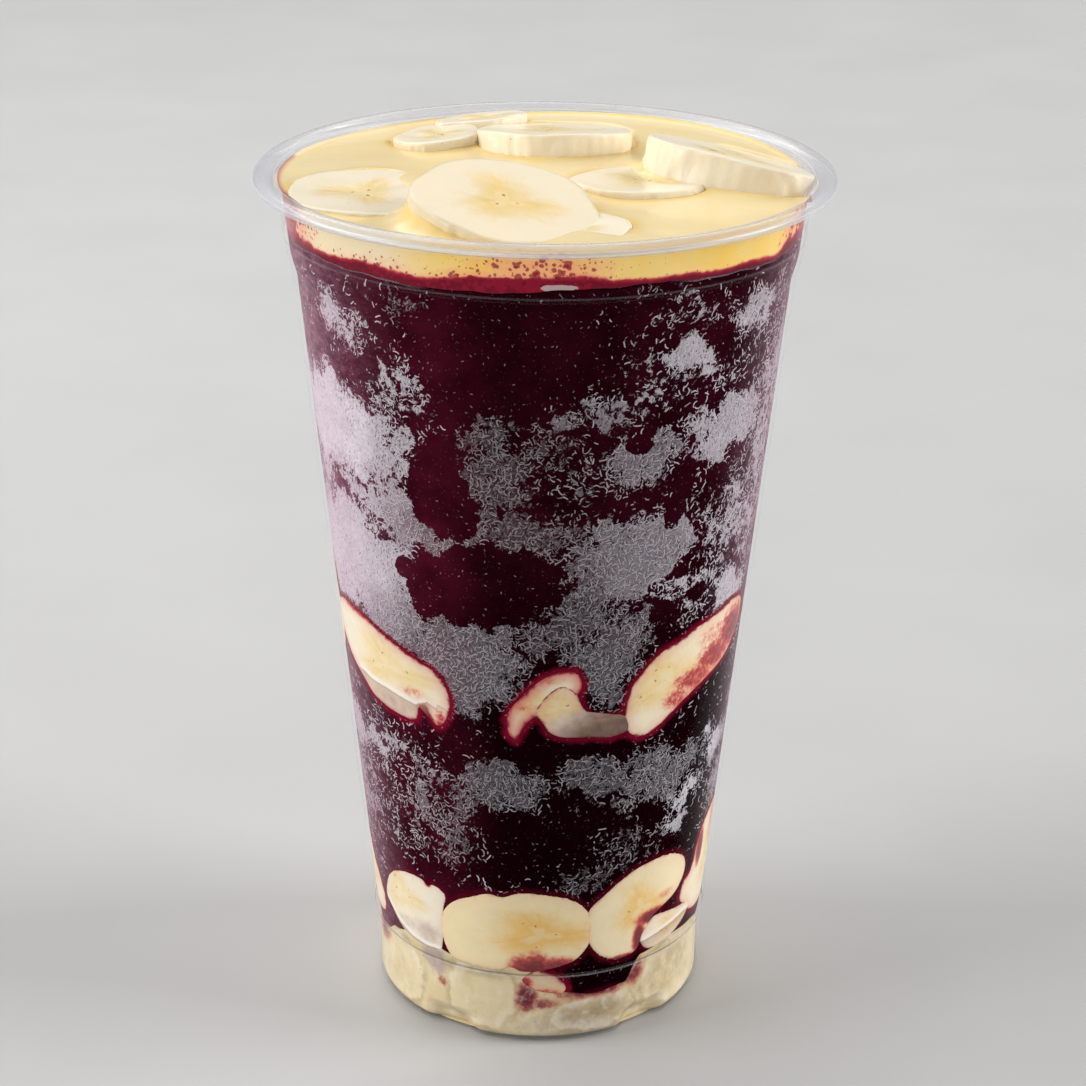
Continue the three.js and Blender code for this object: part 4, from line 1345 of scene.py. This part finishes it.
def make_cream():
    """The condensed milk on top, which climbs up the slices and the wall."""
    filling = millimetres(bpy.context.scene.acai_filling)
    slices = [TopSlice(node, spec) for node, spec in TOP_SLICES.items()]
    columns, rows = 420, 150
    surface, side = 0.68, 0.9      # shares of the rows that make the surface, and the surface and the side
    far = 12.0
    stains = ((-6, 143.4, 19, 3.2, 1.15), (-36, 143, 20, 3, 0.7), (34, 143, 22, 2, 0.35),
              (0, 146.5, 14, 3.4, 0.85), (-37, 145.6, 4, 1.2, 0.5), (-68, 147, 10, 4, 0.8),
              (70, 146, 9, 4, 0.8), (112, 145, 20, 3, 0.6), (-150, 144, 24, 3, 0.6))
    chips = ((3, 143.9, 4, 0.6, 1.0),)

    def shape(u, v):
        angle = u * 360 - 180
        edge = inner_radius(angle, filling.cream_level + filling.meniscus * 0.6 + 0 * angle) + MILK_REACH
        share = np.clip(v / surface, 0, 1)
        radius = edge * share
        x, y, _ = place(angle, radius, 0 * radius).T
        level = cream_level(angle, radius) + filling.meniscus * 0.6 * np.exp(-(edge - radius) / 0.8)
        swell = np.sin(x / 6 + 0.9 * np.sin(y / 5)) * np.sin(y / 7 + 1.2)
        level = level + 0.22 * swell * smooth((edge - radius) / 4)
        near = np.full(len(u), far)
        for piece in slices:
            gap = near_outline(np.column_stack([x, y]), piece.outline, 8, far)
            top = piece.top_at(x, y)
            stands = smooth((top - level + 0.1) / 0.5)
            climb = np.maximum(top - piece.bare - level, filling.meniscus * 0.3 * stands)
            level = level + climb * np.exp(-np.maximum(gap, 0) / 1.7)
            level = level + (np.minimum(level, top - piece.bare + np.maximum(gap, 0) * 0.8) - level) * stands
            sunk = np.minimum(level, top - 1.2)
            inside = smooth((0.15 - gap) / 0.6)
            level = level + (sunk - level) * inside * stands
            near = np.minimum(near, np.where(stands > 0.3, gap, far))
        along = np.clip((v - surface) / (side - surface), 0, 1)
        floor = cream_floor(angle)
        height = np.where(v <= surface, level, level + (floor - level) * along)
        under = np.clip((1 - v) / (1 - side), 0, 1)
        wall_radius = inner_radius(angle, height) + MILK_REACH
        radius = np.where(v <= surface, radius, wall_radius * under)
        on_wall = smooth((v - surface + 0.012) / 0.01)
        left = smooth((-68 - angle + (height - 143) * 0.9) / 5) * smooth((angle + 112) / 12)
        right = smooth((angle - 70 - (height - 143) * 0.6) / 4) * smooth((108 - angle) / 12)
        marks = {
            "near": near,
            "depth": height - floor,
            "wall": on_wall,
            "stain": smear_amount(angle, height, stains),
            "streak": np.maximum(left, right),
            # Painted light: how much the milk at the wall glows, most at the front.
            "glow": np.exp(-(angle / 34) ** 2),
            "pale": smooth((-18 - angle) / 20) * smooth((170 + angle) / 60),
            "chip": smear_amount(angle, height, chips),
        }
        return place(angle, radius, height), marks

    dress(skin("condensed_milk", columns, rows, shape), cream_material(), "cream", "cream")


# ---------------------------------------------------------------- the stage


# Soft lights in metres and watts: name, place, what it faces, size and power.
MIDDLE = (0, 0, 0.08)
LIGHTS = (
    ("left softbox", (-3.0, -0.6, 1.12), MIDDLE, (2.0, 4.0), 118),
    ("right softbox", (3.0, -0.2, 1.12), MIDDLE, (1.6, 2.8), 104),
    ("overhead", (-0.35, 0.35, 0.75), (0, 0, 0.15), (0.7, 0.6), 2.8),
    ("backdrop", (0.0, 1.9, 1.6), (0, 1.9, 0), (3.0, 1.6), 26),
    ("front fill", (-0.1, -1.1, 0.6), MIDDLE, (0.7, 0.5), 1.9),
)
WORLD_COLOUR = (0.82, 0.84, 0.88)
WORLD_STRENGTH = 0.16
FLOOR_SIZE = 40


def area_light(name, location, target, size, power):
    """A soft rectangular light that faces a target."""
    data = bpy.data.lights.new(name, "AREA")
    data.shape = "RECTANGLE"
    data.size, data.size_y = size
    data.energy = power
    light = bpy.data.objects.new(name, data)
    bpy.context.scene.collection.objects.link(light)
    light.location = location
    aim = [t - c for t, c in zip(target, location)]
    light.rotation_mode = "QUATERNION"
    light.rotation_quaternion = Vector(aim).to_track_quat("-Z", "Y")


def make_stage():
    """A pale floor, soft lights and the camera."""
    scene = bpy.context.scene
    sizes = scene.acai_stage
    deselect()
    bpy.ops.mesh.primitive_plane_add(size=FLOOR_SIZE)
    floor = bpy.context.object
    floor.name = "floor"
    floor.data.materials.append(floor_material())

    world = bpy.data.worlds.new("studio")
    world.use_nodes = True
    background = world.node_tree.nodes["Background"]
    background.inputs["Color"].default_value = (*WORLD_COLOUR, 1)
    background.inputs["Strength"].default_value = WORLD_STRENGTH
    scene.world = world
    for light in LIGHTS:
        area_light(*light)

    camera = bpy.data.objects.new("camera", bpy.data.cameras.new("camera"))
    scene.collection.objects.link(camera)
    camera.data.lens = sizes.lens
    camera.data.sensor_width = 36
    camera.data.clip_start = 0.01
    camera.location = (sizes.camera_aside, -sizes.distance, sizes.camera_height)
    camera.rotation_mode = "QUATERNION"
    look_down = Quaternion((1, 0, 0), math.pi / 2 - sizes.pitch)
    camera.rotation_quaternion = look_down @ Quaternion((0, 0, 1), sizes.roll)
    scene.camera = camera
    scene.view_settings.view_transform = "Standard"


# ---------------------------------------------------------------- add-on


class ACAI_OT_cup(bpy.types.Operator):
    """Adds the clear plastic cup."""

    bl_idname = "acai.cup"
    bl_label = "Cup"

    def execute(self, context):
        make_cup()
        return {"FINISHED"}


class ACAI_OT_pulp(bpy.types.Operator):
    """Adds the frozen acai pulp."""

    bl_idname = "acai.pulp"
    bl_label = "Acai pulp"

    def execute(self, context):
        make_pulp()
        return {"FINISHED"}


class ACAI_OT_milk(bpy.types.Operator):
    """Adds the condensed milk in the foot."""

    bl_idname = "acai.milk"
    bl_label = "Milk in the foot"

    def execute(self, context):
        make_milk()
        return {"FINISHED"}


class ACAI_OT_wall_slices(bpy.types.Operator):
    """Adds the three rows of banana slices against the wall."""

    bl_idname = "acai.wall_slices"
    bl_label = "Slices against the wall"

    def execute(self, context):
        material = banana_material("banana against the wall", wet=False)
        for piece in wall_slices(ROWS):
            make_wall_slice(piece, material)
        return {"FINISHED"}


class ACAI_OT_cream(bpy.types.Operator):
    """Adds the condensed milk on top."""

    bl_idname = "acai.cream"
    bl_label = "Condensed milk"

    def execute(self, context):
        make_cream()
        return {"FINISHED"}


class ACAI_OT_top_slices(bpy.types.Operator):
    """Adds the banana slices that lie on the condensed milk."""

    bl_idname = "acai.top_slices"
    bl_label = "Slices on top"

    def execute(self, context):
        material = banana_material("banana on top", wet=True)
        for node, spec in TOP_SLICES.items():
            make_top_slice(TopSlice(node, spec), material)
        return {"FINISHED"}


class ACAI_OT_stage(bpy.types.Operator):
    """Adds the floor, the lights and the camera."""

    bl_idname = "acai.stage"
    bl_label = "Stage"

    def execute(self, context):
        make_stage()
        return {"FINISHED"}


OPERATORS = (ACAI_OT_cup, ACAI_OT_pulp, ACAI_OT_milk, ACAI_OT_wall_slices, ACAI_OT_cream, ACAI_OT_top_slices,
             ACAI_OT_stage)
GROUPS = {"acai_cup": CupSizes, "acai_filling": FillingSizes, "acai_colours": FoodColours,
          "acai_stage": StageSizes}


class ACAI_PT_panel(bpy.types.Panel):
    """Lists the cup's sizes, colours and pieces."""

    bl_idname = "ACAI_PT_panel"
    bl_label = "Acai cup"
    bl_space_type = "VIEW_3D"
    bl_region_type = "UI"
    bl_category = "Acai cup"

    def draw(self, context):
        for name, group in GROUPS.items():
            box = self.layout.box()
            for prop in group.__annotations__:
                box.prop(getattr(context.scene, name), prop)
        for operator in OPERATORS:
            self.layout.operator(operator.bl_idname)


def register():
    for kind in (*GROUPS.values(), *OPERATORS, ACAI_PT_panel):
        bpy.utils.register_class(kind)
    for name, group in GROUPS.items():
        setattr(bpy.types.Scene, name, PointerProperty(type=group))


def unregister():
    for name in GROUPS:
        delattr(bpy.types.Scene, name)
    for kind in reversed((*GROUPS.values(), *OPERATORS, ACAI_PT_panel)):
        bpy.utils.unregister_class(kind)


def main():
    register()
    bpy.ops.acai.cup()
    bpy.ops.acai.pulp()
    bpy.ops.acai.milk()
    bpy.ops.acai.wall_slices()
    bpy.ops.acai.cream()
    bpy.ops.acai.top_slices()
    bpy.ops.acai.stage()
    bpy.context.view_layer.update()


if __name__ == "__main__":
    main()
